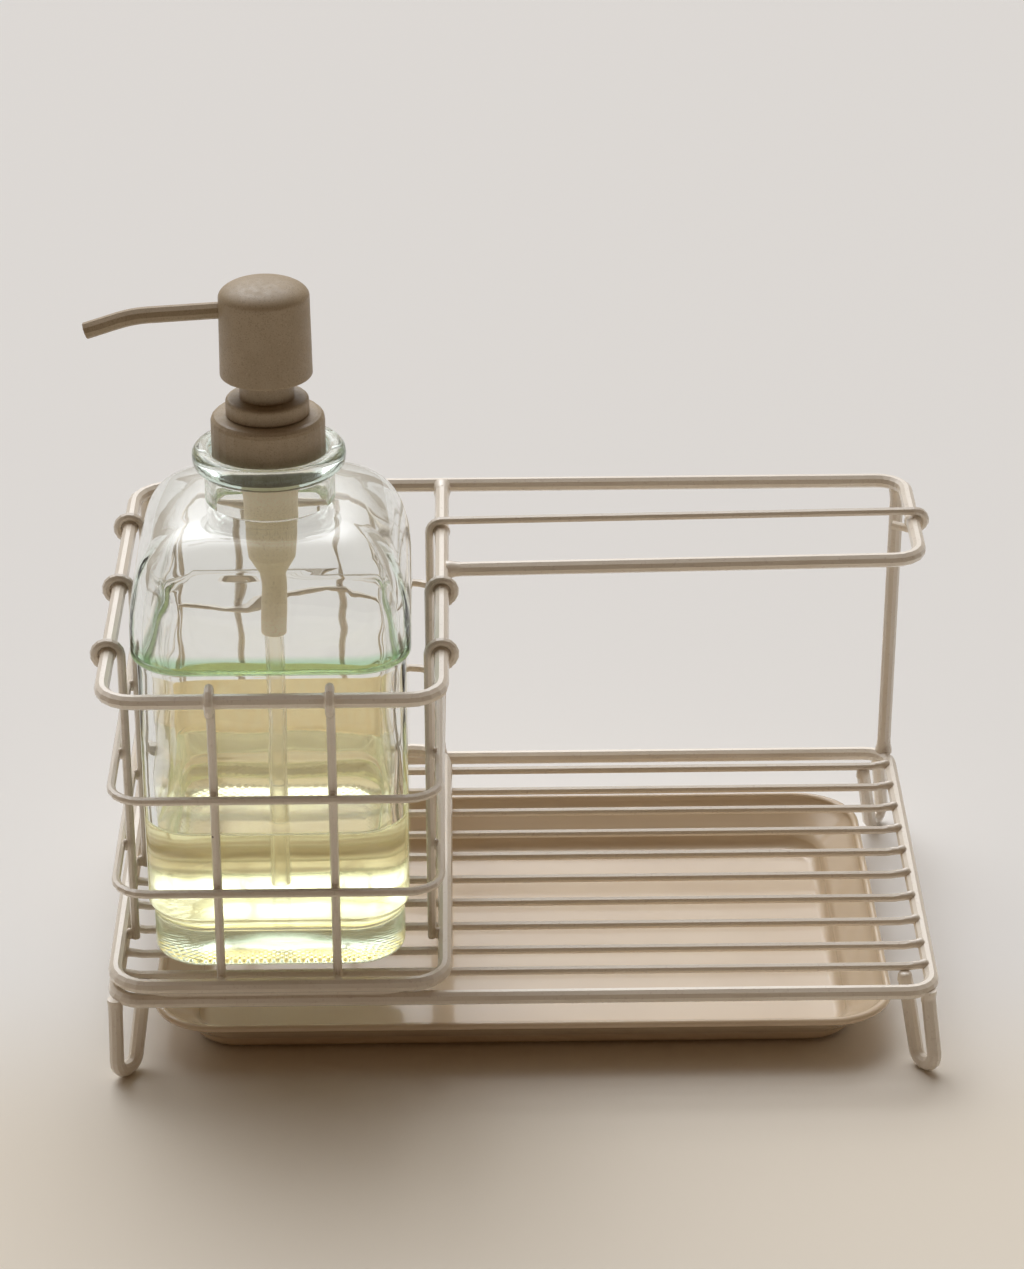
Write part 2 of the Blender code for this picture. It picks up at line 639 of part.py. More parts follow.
def make_closure(group):
    """The collar plugs the bottle's bore; the retainer snaps into it and guides the rod in its chimney."""
    inner = COLLAR_RADIUS - COLLAR_WALL
    collar = [(COLLAR_HOLE_RADIUS, COLLAR_RISE)]
    collar += rounding(COLLAR_RADIUS - COLLAR_ROUNDING, COLLAR_RISE - COLLAR_ROUNDING, COLLAR_ROUNDING, 90, 0)
    collar += [(COLLAR_RADIUS, -COLLAR_PLUG_DEPTH), (inner, -COLLAR_PLUG_DEPTH)]
    collar += [(inner, COLLAR_RISE - COLLAR_TOP_WALL), (COLLAR_HOLE_RADIUS, COLLAR_RISE - COLLAR_TOP_WALL)]
    turned(group, "pump_collar", collar, PUMP_PLACE)

    seat = COLLAR_RISE + SEAT_GAP
    top = seat + RETAINER_HEIGHT
    bore = ROD_RADIUS + ROD_RUNNING_GAP
    retainer = [(bore, top + CHIMNEY_HEIGHT), (CHIMNEY_RADIUS, top + CHIMNEY_HEIGHT), (CHIMNEY_RADIUS, top)]
    edge = RETAINER_RADIUS - RETAINER_ROUNDING
    retainer += rounding(edge, top - RETAINER_ROUNDING, RETAINER_ROUNDING, 90, 0)
    retainer += [(RETAINER_RADIUS, seat), (RETAINER_BOSS_RADIUS, seat)]
    retainer += [(RETAINER_BOSS_RADIUS, seat - RETAINER_BOSS_DEPTH), (bore, seat - RETAINER_BOSS_DEPTH)]
    turned(group, "pump_retainer", retainer, PUMP_PLACE)

    foot = -COLLAR_PLUG_DEPTH
    hole, rim = CYLINDER_RADIUS + SEAT_GAP, inner - SEAT_GAP
    gasket = [(hole, foot + GASKET_THICKNESS), (rim, foot + GASKET_THICKNESS), (rim, foot), (hole, foot)]
    turned(group, "closure_gasket", gasket, PUMP_PLACE)


def make_cylinder(group):
    """The pump cylinder hangs from its flange in the collar and holds the ball valve and the dip tube."""
    flange_foot = -COLLAR_PLUG_DEPTH + GASKET_THICKNESS + SEAT_GAP
    flange_top = flange_foot + FLANGE_THICKNESS
    flange = COLLAR_RADIUS - COLLAR_WALL - SEAT_GAP
    top = COLLAR_RISE - RETAINER_BOSS_DEPTH
    ledge = -(CYLINDER_TAPER_END + SPRING_LEDGE_WALL / 2)
    inlet_bore = INLET_RADIUS - INLET_WALL
    seat = -BALL_SEAT_DEPTH
    socket = DIP_TUBE_RADIUS + SEAT_GAP
    profile = [
        (CYLINDER_BORE_RADIUS, top),
        (CYLINDER_RADIUS, top),
        (CYLINDER_RADIUS, flange_top),
        (flange, flange_top),
        (flange, flange_foot),
        (CYLINDER_RADIUS, flange_foot),
        (CYLINDER_RADIUS, -CYLINDER_TAPER_START),
        (CYLINDER_TAPER_RADIUS, -CYLINDER_TAPER_END),
        (INLET_RADIUS, -CYLINDER_CONE_END),
        (INLET_RADIUS, -CYLINDER_END),
        (socket, -CYLINDER_END),
        (socket, seat - BALL_SEAT_WALL),
        (BALL_SEAT_RADIUS, seat - BALL_SEAT_WALL),
        (BALL_SEAT_RADIUS, seat),
        (inlet_bore, seat + BALL_SEAT_HEIGHT),
        (inlet_bore, ledge),
        (CYLINDER_BORE_RADIUS, ledge),
    ]
    turned(group, "pump_cylinder", profile, PUMP_PLACE)

    tube_top = seat - BALL_SEAT_WALL - SEAT_GAP
    tube_foot = GLASS_BASE + DIP_TUBE_FLOOR_GAP - LIP_TOP
    tube = [(DIP_TUBE_BORE_RADIUS, tube_top), (DIP_TUBE_RADIUS, tube_top)]
    tube += [(DIP_TUBE_RADIUS, tube_foot), (DIP_TUBE_BORE_RADIUS, tube_foot)]
    turned(group, "dip_tube", tube, PUMP_PLACE)
    return ledge


def make_ball(group):
    """The steel ball lies over its conical seat, held off it by the seat gap."""
    inlet_bore = INLET_RADIUS - INLET_WALL
    slope = math.atan2(BALL_SEAT_HEIGHT, inlet_bore - BALL_SEAT_RADIUS)
    clear = BALL_RADIUS + SEAT_GAP
    height = (clear - BALL_SEAT_RADIUS * math.sin(slope)) / math.cos(slope) - BALL_SEAT_DEPTH
    mesh = bpy.data.meshes.new("inlet_ball")
    shape = bmesh.new()
    bmesh.ops.create_uvsphere(shape, u_segments=BALL_SEGMENTS, v_segments=BALL_RINGS, radius=BALL_RADIUS)
    shape.to_mesh(mesh)
    shape.free()
    shade_round(mesh)
    group.add("inlet_ball", mesh, PUMP_PLACE + height * UPWARD)


def make_plunger(plastic, steel, ledge):
    """The hollow rod carries the piston, and the spring below lifts it."""
    spring_foot = ledge + SPRING_WIRE / 2 + SEAT_GAP
    flange_foot = spring_foot + SPRING_LENGTH + SPRING_WIRE / 2 + SEAT_GAP
    flange_top = flange_foot + ROD_FLANGE_THICKNESS
    piston_foot = flange_top + SEAT_GAP
    piston_top = piston_foot + PISTON_HEIGHT
    rod_top = HEAD_LIFT + HEAD_CAVITY + HEAD_SOCKET_DEPTH - SEAT_GAP
    shoulder_foot = piston_top + SEAT_GAP
    rod = [
        (ROD_BORE_RADIUS, rod_top),
        (ROD_RADIUS, rod_top),
        (ROD_RADIUS, shoulder_foot + ROD_FLANGE_THICKNESS),
        (ROD_SHOULDER_RADIUS, shoulder_foot + ROD_FLANGE_THICKNESS),
        (ROD_SHOULDER_RADIUS, shoulder_foot),
        (ROD_RADIUS, shoulder_foot),
        (ROD_RADIUS, flange_top),
        (ROD_FLANGE_RADIUS, flange_top),
        (ROD_FLANGE_RADIUS, flange_foot),
        (ROD_BORE_RADIUS, flange_foot),
    ]
    turned(plastic, "piston_rod", rod, PUMP_PLACE)

    wiper = CYLINDER_BORE_RADIUS - SEAT_GAP
    bore = ROD_RADIUS + SEAT_GAP
    waist = wiper - PISTON_WAIST
    piston = [
        (bore, piston_top),
        (wiper, piston_top),
        (waist, piston_top - PISTON_LAND),
        (waist, piston_foot + PISTON_LAND),
        (wiper, piston_foot),
        (bore, piston_foot),
    ]
    turned(plastic, "piston_seal", piston, PUMP_PLACE)

    count = SPRING_TURNS * SPRING_POINTS_PER_TURN
    helix = []
    for i in range(count + 1):
        angle = math.tau * i / SPRING_POINTS_PER_TURN
        around = SPRING_RADIUS * (math.cos(angle) * RIGHTWARD + math.sin(angle) * BACKWARD)
        helix.append(around + (spring_foot + SPRING_LENGTH * i / count) * UPWARD)
    gap = least_gap(helix, SPRING_POINTS_PER_TURN // 2, SPRING_WIRE)
    print(f"return spring: {gap / MM:.2f} mm to itself")
    steel.add("return_spring", wire_curve("return_spring", helix, SPRING_WIRE, SPRING_RESOLUTION), PUMP_PLACE)


def least_gap(route, apart, diameter):
    """The least gap of a wound wire to itself, between points at least so many steps apart along it."""
    between = min(
        (point - other).length
        for i, point in enumerate(route)
        for other in route[i + apart :]
    )
    return between - diameter


def nozzle_route(extra=0.0):
    """The nozzle's centre line, leaving the head to the left and bending down towards its tip."""
    root = HEAD_LIFT + HEAD_HEIGHT - NOZZLE_DROP
    turn = NOZZLE_TIP_ANGLE - NOZZLE_ROOT_ANGLE
    start = HEAD_RADIUS - NOZZLE_SEAT_DEPTH
    bend_run = (NOZZLE_REACH - NOZZLE_BEND_START) / 2
    radius = bend_run / (math.sin(NOZZLE_TIP_ANGLE) - math.sin(NOZZLE_ROOT_ANGLE))
    bend_top = root - (NOZZLE_BEND_START - HEAD_RADIUS) * math.tan(NOZZLE_ROOT_ANGLE)
    route = [
        Vector((-start + extra, 0, root + (HEAD_RADIUS - start + extra) * math.tan(NOZZLE_ROOT_ANGLE)))
    ]
    for share in spaced(0, 1, NOZZLE_BEND_STEPS):
        angle = NOZZLE_ROOT_ANGLE + share * turn
        run = radius * (math.sin(angle) - math.sin(NOZZLE_ROOT_ANGLE))
        fall = radius * (math.cos(NOZZLE_ROOT_ANGLE) - math.cos(angle))
        route.append(Vector((-NOZZLE_BEND_START - run, 0, bend_top - fall)))
    tip_run = bend_run + extra
    route.append(route[-1] + Vector((-tip_run, 0, -tip_run * math.tan(NOZZLE_TIP_ANGLE))))
    return route


def tube_cutter(group, name, route, radius):
    curve = group.add(name, wire_curve(name, route, 2 * radius, NOZZLE_RESOLUTION), PUMP_PLACE)
    cutter = welded_copy(group, name, curve)
    cutter.hide_render = True
    cutter.display_type = "WIRE"
    return cutter


def cut(piece, cutter):
    boolean = piece.modifiers.new(cutter.name, "BOOLEAN")
    boolean.operation = "DIFFERENCE"
    boolean.solver = "EXACT"
    boolean.object = cutter


def make_head(group, cutters):
    """The head: a crowned cap whose skirt telescopes over the retainer, with a bent nozzle in its side."""
    top = HEAD_LIFT + HEAD_HEIGHT
    shoulder = top - HEAD_CROWN
    crown_reach = HEAD_RADIUS - HEAD_EDGE
    profile = [
        (crown_reach * math.sin(a), shoulder + HEAD_CROWN * math.cos(a))
        for a in spaced(0, math.pi / 2, CROWN_STEPS)
    ][:-1]
    profile += rounding(crown_reach, shoulder - HEAD_EDGE + HEAD_CROWN / 4, HEAD_EDGE, HEAD_EDGE_START, 0)
    foot_edge = HEAD_RADIUS - HEAD_FOOT_ROUNDING
    profile += rounding(foot_edge, HEAD_LIFT + HEAD_FOOT_ROUNDING, HEAD_FOOT_ROUNDING, 0, -90)
    inner = HEAD_RADIUS - HEAD_SKIRT_WALL
    ceiling = HEAD_LIFT + HEAD_CAVITY
    socket = ROD_RADIUS + SEAT_GAP
    profile += [(inner, HEAD_LIFT), (inner, ceiling), (socket, ceiling)]
    profile += [(socket, ceiling + HEAD_SOCKET_DEPTH), (0, ceiling + HEAD_SOCKET_DEPTH)]
    head = turned(group, "pump_head", profile, PUMP_PLACE, closed=False)

    seat_route = nozzle_route()[:2]
    seat_route[0] += SEAT_GAP * RIGHTWARD
    cut(head, tube_cutter(cutters, "nozzle_seat_cutter", seat_route, NOZZLE_RADIUS + NOZZLE_SEAT_GAP))
    channel = [Vector((0, 0, seat_route[0].z)), seat_route[0] + CUTTER_OVERRUN * LEFTWARD]
    cut(head, tube_cutter(cutters, "nozzle_channel_cutter", channel, NOZZLE_BORE_RADIUS))

    tube = wire_curve("nozzle", nozzle_route(), 2 * NOZZLE_RADIUS, NOZZLE_RESOLUTION)
    nozzle = welded_copy(group, "nozzle", group.add("nozzle", tube, PUMP_PLACE))
    bore = tube_cutter(cutters, "nozzle_bore_cutter", nozzle_route(CUTTER_OVERRUN), NOZZLE_BORE_RADIUS)
    cut(nozzle, bore)


def centre_on_base(origin, pieces):
    """Shifts the caddy so that its bounding box stands centred on the world's origin."""
    bpy.context.view_layer.update()
    graph = bpy.context.evaluated_depsgraph_get()
    points = []
    for piece in pieces:
        shape = piece.evaluated_get(graph)
        points += [piece.matrix_world @ vertex.co for vertex in shape.to_mesh().vertices]
        shape.to_mesh_clear()
    low = Vector([min(point[axis] for point in points) for axis in range(3)])
    high = Vector([max(point[axis] for point in points) for axis in range(3)])
    origin.location = -Vector(((low.x + high.x) / 2, (low.y + high.y) / 2, low.z))
    print("caddy shifted by", [f"{length / MM:.4f} mm" for length in origin.location])


def main():
    clear_scene()
    caddy = add_collection("soap_dispenser_caddy")
    helpers = add_collection("cutters")
    coat = make_material("powder_coat", (0.74, 0.66, 0.57), 0.45)
    enamel = make_material("tray_enamel", (0.80, 0.72, 0.60), 0.22)
    glass = make_material("bottle_glass", (0.86, 0.93, 0.88), 0.03, transmission=1.0)
    soap = make_material("liquid_soap", (0.86, 0.80, 0.48), 0.05, transmission=1.0)
    taupe = make_material("taupe_plastic", (0.30, 0.24, 0.17), 0.5)
    clear = make_material("milky_plastic", (0.85, 0.84, 0.78), 0.4)
    rubber = make_material("seal_rubber", (0.62, 0.62, 0.58), 0.7)
    metal = make_material("spring_steel", (0.60, 0.60, 0.60), 0.3, metallic=1.0)

    origin = add_empty("caddy_origin", caddy, Vector())
    tray_runner = add_empty("tray_slide", caddy, Vector(), origin)
    bottle_seat = add_empty("bottle_lift", caddy, Vector(), origin)
    closure_seat = add_empty("closure_lift", caddy, Vector(), bottle_seat)
    plunger_guide = add_empty("plunger_press", caddy, Vector(), closure_seat)
    head_pivot = add_empty("head_swivel", caddy, Vector(), plunger_guide)

    rack = Group(caddy, origin, coat)
    make_base(rack)
    make_feet(rack)
    make_hoops(rack)
    make_basket_wires(rack)
    make_towel_bar(rack)
    make_top_rail(rack)
    make_tray(Group(caddy, tray_runner, enamel))
    make_bottle(Group(caddy, bottle_seat, glass))
    make_soap(Group(caddy, bottle_seat, soap))
    closure = Group(caddy, closure_seat, taupe)
    make_closure(closure)
    ledge = make_cylinder(closure)
    make_ball(Group(caddy, closure_seat, metal))
    make_plunger(Group(caddy, plunger_guide, clear), Group(caddy, plunger_guide, metal), ledge)
    make_head(Group(caddy, head_pivot, taupe), Group(helpers, head_pivot, taupe))
    bpy.data.objects["dip_tube"].data.materials[0] = clear
    bpy.data.objects["closure_gasket"].data.materials[0] = rubber
    centre_on_base(origin, [piece for piece in caddy.objects if piece.type != "EMPTY"])


main()
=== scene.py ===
import json
import math

import bmesh
import bpy
from mathutils import Matrix, Vector


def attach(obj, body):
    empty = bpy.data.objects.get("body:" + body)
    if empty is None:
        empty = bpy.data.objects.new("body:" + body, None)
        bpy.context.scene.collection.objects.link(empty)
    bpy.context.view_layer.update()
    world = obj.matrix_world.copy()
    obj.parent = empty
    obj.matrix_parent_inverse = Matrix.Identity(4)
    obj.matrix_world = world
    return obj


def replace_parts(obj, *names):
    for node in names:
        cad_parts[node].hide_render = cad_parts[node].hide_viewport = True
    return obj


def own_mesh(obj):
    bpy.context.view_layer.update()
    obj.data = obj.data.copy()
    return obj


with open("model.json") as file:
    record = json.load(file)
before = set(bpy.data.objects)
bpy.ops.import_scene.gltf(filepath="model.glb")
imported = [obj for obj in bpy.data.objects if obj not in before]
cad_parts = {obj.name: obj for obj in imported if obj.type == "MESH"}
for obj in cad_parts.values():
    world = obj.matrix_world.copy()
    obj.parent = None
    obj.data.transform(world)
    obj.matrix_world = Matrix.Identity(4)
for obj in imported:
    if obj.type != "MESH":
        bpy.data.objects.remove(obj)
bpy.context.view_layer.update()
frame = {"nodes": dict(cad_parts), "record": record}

MM = 0.001
MERGE_DISTANCE = 0.001 * MM
NODE_CREASE = 48

# The photograph's camera, fitted to the rack's right angles.
# Pixels are of the 1024 x 1269 photograph.
PHOTO_HEIGHT = 1269
FOCAL_PIXELS = 3909.26
SENSOR_HEIGHT = 36.0
CAMERA_PLACE = Vector((-18.268, -1104.725, 643.002)) * MM
CAMERA_FORWARD = Vector((0.01175, 0.90125, -0.43315))
CAMERA_RIGHT = Vector((0.99988, -0.01507, -0.00423))
CLIP_NEAR, CLIP_FAR = 0.05, 40

# Light: the key's direction, how tightly it is gathered, and colours as light strengths
KEY_DIRECTION, KEY_GATHER = (-0.14, 0.62, 0.77), 13
KEY_LIGHT = (6.0, 6.08, 6.2)
ROOM_IN_FRONT, ROOM_BEHIND = (0.075, 0.040, 0.016), (0.42, 0.365, 0.30)
FLOOR_SIZE = 12

# The rack's lines and painted wires, in metres before the shift that centres the caddy
SHIFT = Vector((-1.6047, 0.1073, 0)) * MM
THICK_PAINTED, THIN_PAINTED = 2.31 * MM, 1.36 * MM
LEFT, RIGHT, FRONT, BACK = -125.0 * MM, 125.0 * MM, -79.0 * MM, 79.0 * MM
RAIL_LEFT, DIVIDER = -124.5 * MM, -24.1 * MM
TOWEL_RIGHT, TOWEL_FRONT = 128.2 * MM, 16.2 * MM
BASE_HEIGHT, GRID_HEIGHT = 27.6 * MM, 28.6 * MM
BASKET_HEIGHT, RAIL_HEIGHT = 32.5 * MM, 129.1 * MM
HOOP_HEIGHTS = (64.0 * MM, 95.6 * MM)
HOOK_REACH = 4.05 * MM
HOOK_TURN = math.radians(243)
FRONT_WIRES = (-92.25 * MM, -56.85 * MM)
LEFT_WIRES = (-46.6 * MM, 0.0, 46.6 * MM)
DIVIDER_WIRES = (-48.4 * MM, -3.8 * MM)
TOWEL_WIRE = 40.8 * MM
DIVIDER_UPRIGHTS = (*DIVIDER_WIRES, TOWEL_WIRE)
GRID_WIRES, GRID_PITCH = 10, 15 * MM
FIRST_WIRE_SHIFT = 2.2 * MM
RING_WIDENING = 1.8 * MM

# Bottle and pump sizes
BOTTLE = Vector((-75.05, -26.4, 30.25)) * MM + SHIFT
BODY, SHOULDER, HEEL = 40.3 * MM, 42.0 * MM, 38.7 * MM
OUTER_CORNER, INNER_CORNER = 0.385, 0.33
WALL = 4.0 * MM
NECK, NECK_TOP = 19.6 * MM, 151.4 * MM
LIP_HEIGHT, BORE = 7.0 * MM, 17.6 * MM
DOME_FOOT, DOME_TOP = 107.4 * MM, 142.0 * MM
SOAP_LEVEL, SOAP_CURL, SOAP_OVERLAP = 45.2 * MM, 1.3 * MM, 0.25 * MM
LABEL_FOOT, LABEL_TOP, LABEL_WRAP = 27 * MM, 66 * MM, 13 * MM
LABEL_LIFT, LABEL_THICKNESS = 0.03 * MM, 0.1 * MM
PUMP = BOTTLE + Vector((0, 0, NECK_TOP + LIP_HEIGHT))

# Tray sizes
TRAY_HALVES = (115 * MM, 75 * MM)
TRAY_CORNER = 20 * MM
TRAY_HEIGHT, TRAY_LIP, TRAY_WALL = 15.4 * MM, 1.2 * MM, 1.8 * MM
TRAY_HEEL, TRAY_FLARE = 4.0 * MM, 11.5 * MM


# Bench: small helpers round the modelling operators

def spaced(start, end, steps):
    return [start + (end - start) * i / steps for i in range(steps + 1)]


def only(piece):
    bpy.ops.object.select_all(action="DESELECT")
    piece.select_set(True)
    bpy.context.view_layer.objects.active = piece


def begin(name, primitive, **settings):
    """Puts a primitive alone on the bench with its place in its mesh, opened in edit mode."""
    bpy.ops.object.select_all(action="DESELECT")
    primitive(**settings)
    bpy.ops.object.transform_apply(location=True, rotation=True, scale=True)
    piece = bpy.context.object
    piece.name = piece.data.name = name
    reopen(piece)
    return piece


def reopen(piece):
    only(piece)
    bpy.ops.object.mode_set(mode="EDIT")
    bpy.ops.mesh.select_mode(type="FACE")
    pick_all()


def close():
    bpy.ops.object.mode_set(mode="OBJECT")


def pick_all():
    bpy.ops.mesh.select_all(action="SELECT")


def pick(kind, wanted):
    """Selects the faces, edges or points for which wanted() holds."""
    bpy.ops.mesh.select_mode(type=kind)
    bpy.ops.mesh.select_all(action="DESELECT")
    mesh = bpy.context.edit_object.data
    shape = bmesh.from_edit_mesh(mesh)
    for part in {"FACE": shape.faces, "EDGE": shape.edges, "VERT": shape.verts}[kind]:
        part.select_set(wanted(part))
    shape.select_flush_mode()
    bmesh.update_edit_mesh(mesh)


def facing(direction):
    direction = Vector(direction).normalized()
    return lambda face: face.normal.dot(direction) > 0.95


def draw_out(move, widths=(1, 1, 1), about=None):
    """Extrudes what is selected by a move and scales the new end about a point."""
    bpy.ops.mesh.extrude_region_move(TRANSFORM_OT_translate={"value": tuple(move)})
    if about is not None:
        bpy.ops.transform.resize(value=tuple(widths), center_override=tuple(about))


def close_skin():
    pick_all()
    bpy.ops.mesh.remove_doubles(threshold=MERGE_DISTANCE)
    bpy.ops.mesh.normals_make_consistent(inside=False)


def copy_of(piece, move=(0, 0, 0), turn=0.0, about=(0, 0, 0)):
    """A copy with a mesh of its own, turned about an upright line and then moved."""
    only(piece)
    bpy.ops.object.duplicate(linked=False)
    if turn:
        bpy.ops.transform.rotate(value=-turn, orient_axis="Z", center_override=tuple(about))
    bpy.ops.transform.translate(value=tuple(move))
    bpy.ops.object.transform_apply(location=True, rotation=True, scale=True)
    return bpy.context.object


def joined(pieces, name):
    bpy.ops.object.select_all(action="DESELECT")
    for piece in pieces:
        piece.select_set(True)
    bpy.context.view_layer.objects.active = pieces[0]
    if len(pieces) > 1:
        bpy.ops.object.join()
    piece = bpy.context.object
    piece.name = piece.data.name = name
    return piece


def deliver(piece, material, body, crease=50):
    """Shades a finished piece, gives it its material and says what it rides on."""
    only(piece)
    bpy.ops.object.shade_smooth_by_angle(angle=math.radians(crease))
    piece.data.materials.clear()
    piece.data.materials.append(material)
    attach(piece, body)
    return piece


# Finishes

class Value:
    """A number from a node; plain arithmetic on it adds Math nodes."""

    def __init__(self, finish, socket):
        self.finish = finish
        self.socket = socket

    def maths(self, operation, first, second):
        node = self.finish.node("ShaderNodeMath", {"operation": operation}, {0: first, 1: second})
        return Value(self.finish, node.outputs[0])

    def __add__(self, other):
        return self.maths("ADD", self, other)

    def __radd__(self, other):
        return self.maths("ADD", other, self)

    def __sub__(self, other):
        return self.maths("SUBTRACT", self, other)

    def __rsub__(self, other):
        return self.maths("SUBTRACT", other, self)

    def __mul__(self, other):
        return self.maths("MULTIPLY", self, other)

    def __rmul__(self, other):
        return self.maths("MULTIPLY", other, self)

    def __pow__(self, other):
        return self.maths("POWER", self, other)

    def __rpow__(self, other):
        return self.maths("POWER", other, self)

    def at_least(self, least):
        return self.maths("MAXIMUM", self, least)

    def sine(self):
        return self.maths("SINE", self, 0.0)

    def between(self, low, high, start=0.0, end=1.0):
        """Eases from start to end as this number goes from low to high."""
        node = self.finish.node(
            "ShaderNodeMapRange", {"interpolation_type": "SMOOTHSTEP"},
            {"Value": self, "From Min": low, "From Max": high, "To Min": start, "To Max": end})
        return Value(self.finish, node.outputs["Result"])


class Finish:
    """One material, or the room's air, written as nodes."""

    def __init__(self, name, **plain):
        self.material = bpy.data.materials.new(name)
        self.material.use_nodes = True
        self.tree = self.material.node_tree
        self.shader = self.tree.nodes["Principled BSDF"]
        self.surface(**plain)
        self.place = None

    def feed(self, node, sockets):
        for name, value in sockets.items():
            if isinstance(value, Value):
                value = value.socket
            if isinstance(value, bpy.types.NodeSocket):
                self.tree.links.new(value, node.inputs[name])
            else:
                node.inputs[name].default_value = value

    def node(self, kind, settings=None, sockets=None):
        node = self.tree.nodes.new(kind)
        for name, value in (settings or {}).items():
            setattr(node, name, value)
        self.feed(node, sockets or {})
        return node

    def surface(self, **inputs):
        self.feed(self.shader, {key.replace("_", " "): value for key, value in inputs.items()})

    def point(self):
        if self.place is None:
            self.place = self.node("ShaderNodeTexCoord").outputs["Object"]
        return self.place

    def axis(self, letter):
        node = self.node("ShaderNodeSeparateXYZ", None, {0: self.point()})
        return Value(self, node.outputs[letter])

    def stretched(self, stretch):
        mapping = self.node("ShaderNodeMapping", None, {"Vector": self.point(), "Scale": stretch})
        return mapping.outputs["Vector"]

    def noise(self, per_metre, detail=3.0, stretch=None):
        source = self.stretched(stretch) if stretch else self.point()
        node = self.node("ShaderNodeTexNoise", None,
                         {"Vector": source, "Scale": per_metre, "Detail": detail})
        return Value(self, node.outputs["Fac"])

    def cells(self, per_metre):
        """How far each point is from the middle of its cell, and a chance value for the cell."""
        node = self.node("ShaderNodeTexVoronoi", None,
                         {"Vector": self.point(), "Scale": per_metre})
        chance = self.node("ShaderNodeSeparateColor", None, {0: node.outputs["Color"]})
        return Value(self, node.outputs["Distance"]), Value(self, chance.outputs["Red"])

    def blend(self, share, first, second):
        """A colour between two colours."""
        colours = [(*c, 1) if isinstance(c, tuple) else c for c in (first, second)]
        node = self.node("ShaderNodeMix", {"data_type": "RGBA"},
                         {0: share, 6: colours[0], 7: colours[1]})
        return node.outputs[2]

    def relief(self, *layers):
        """Bumps on bumps: each layer is a height, a strength and how deep it goes, in metres."""
        normal = None
        for height, strength, depth in layers:
            sockets = {"Height": height, "Strength": strength, "Distance": depth}
            if normal is not None:
                sockets["Normal"] = normal
            normal = self.node("ShaderNodeBump", None, sockets).outputs["Normal"]
        return normal

    def absorb(self, colour, density):
        """The body of the piece takes light up on its way through."""
        body = self.node("ShaderNodeVolumeAbsorption", None,
                         {"Color": (*colour, 1), "Density": density})
        self.feed(self.tree.nodes["Material Output"], {"Volume": body.outputs["Volume"]})


def band(height, start, full, fade, end):
    """1 between two heights, easing in below them and out above."""
    return height.between(start, full) * (1 - height.between(fade, end))


def sand_powder_coat():
    """Warm sand powder coat: orange peel, a faint mottle, rare pinholes dented in and painted dark
    as shade in the pits, and a soft bloom.
    """
    f = Finish("sand_powder_coat", Coat_Weight=1.0, Coat_Roughness=0.24)
    mottle = f.noise(60, 4.0).between(0.3, 0.7)
    fleck = f.noise(950, 2.0).between(0.28, 0.42)
    distance, chance = f.cells(190)
    pinhole_with_painted_shade = (1 - distance.between(0.05, 0.09)) * chance.between(0.985, 0.99)
    colour = f.blend(mottle, (0.840, 0.757, 0.640), (0.875, 0.797, 0.685))
    colour = f.blend(fleck, (0.78, 0.69, 0.585), colour)
    # Pinholes are painted near black: painted shade in the pits.
    colour = f.blend(pinhole_with_painted_shade, colour, (0.10, 0.075, 0.06))
    bloom = f.noise(240, 3.0).between(0.3, 0.7, 0.3, 0.42)
    peel = f.relief((f.noise(430, 2.0), 0.32, 0.12 * MM), (f.noise(1500, 2.0), 0.22, 0.04 * MM),
                    (1 - pinhole_with_painted_shade, 0.5, 0.1 * MM))
    f.surface(Base_Color=colour, Roughness=bloom, Normal=peel)
    return f.material


def cream_enamel():
    """Glossy cream enamel with long soft waves and a few fine specks."""
    f = Finish("cream_enamel", Roughness=0.22, Coat_Weight=0.5, Coat_Roughness=0.06)
    tint = f.noise(26, 3.0).between(0.3, 0.7)
    distance, chance = f.cells(150)
    speck = (1 - distance.between(0.03, 0.06)) * chance.between(0.985, 0.99)
    colour = f.blend(tint, (0.69, 0.545, 0.38), (0.73, 0.59, 0.42))
    colour = f.blend(speck, colour, (0.50, 0.41, 0.30))
    f.surface(Base_Color=colour, Normal=f.relief((f.noise(40, 1.0), 0.15, 0.5 * MM)))
    return f.material


def taupe_plastic(name, dark, light, roughness, **plain):
    """Moulded taupe plastic: a fine matt grain with pale and dark grains in it."""
    f = Finish(name, **plain)
    cloud = f.noise(80, 3.0).between(0.3, 0.7)
    grain = f.noise(2300, 1.0).between(0.32, 0.46)
    pale = f.noise(1700, 1.0).between(0.62, 0.74)
    colour = f.blend(cloud, dark, light)
    colour = f.blend(grain, tuple(0.86 * part for part in dark), colour)
    colour = f.blend(pale * 0.5, colour, tuple(min(1.18 * part, 0.9) for part in light))
    matt = f.noise(520, 2.0).between(0.3, 0.7, roughness - 0.06, roughness + 0.08)
    skin = f.relief((f.noise(900, 3.0), 0.28, 0.05 * MM), (f.noise(110, 2.0), 0.15, 0.15 * MM))
    f.surface(Base_Color=colour, Roughness=matt, Normal=skin)
    return f.material


def milky_plastic():
    # The emission is painted light: a dim warm glow standing in for light that reaches the tube
    # through the glass.
    f = Finish("milky_tube_plastic", Transmission_Weight=0.92, IOR=1.38,
               Emission_Color=(0.17, 0.14, 0.09, 1), Emission_Strength=0.2)
    cloud = f.noise(120, 3.0).between(0.3, 0.7)
    skin = f.relief((f.noise(700, 2.0), 0.2, 0.04 * MM))
    f.surface(Base_Color=f.blend(cloud, (0.95, 0.94, 0.88), (0.98, 0.97, 0.93)),
              Roughness=cloud * 0.1 + 0.1, Normal=skin)
    return f.material


def cream_label_paper():
    f = Finish("cream_label_paper", Roughness=0.9, Transmission_Weight=0.8, IOR=1.1)
    fibres = f.noise(420, 4.0, (1, 1, 0.35)).between(0.3, 0.7)
    f.surface(Base_Color=f.blend(fibres, (0.96, 0.80, 0.47), (0.99, 0.86, 0.54)),
              Normal=f.relief((f.noise(1300, 3.0), 0.25, 0.03 * MM)))
    return f.material


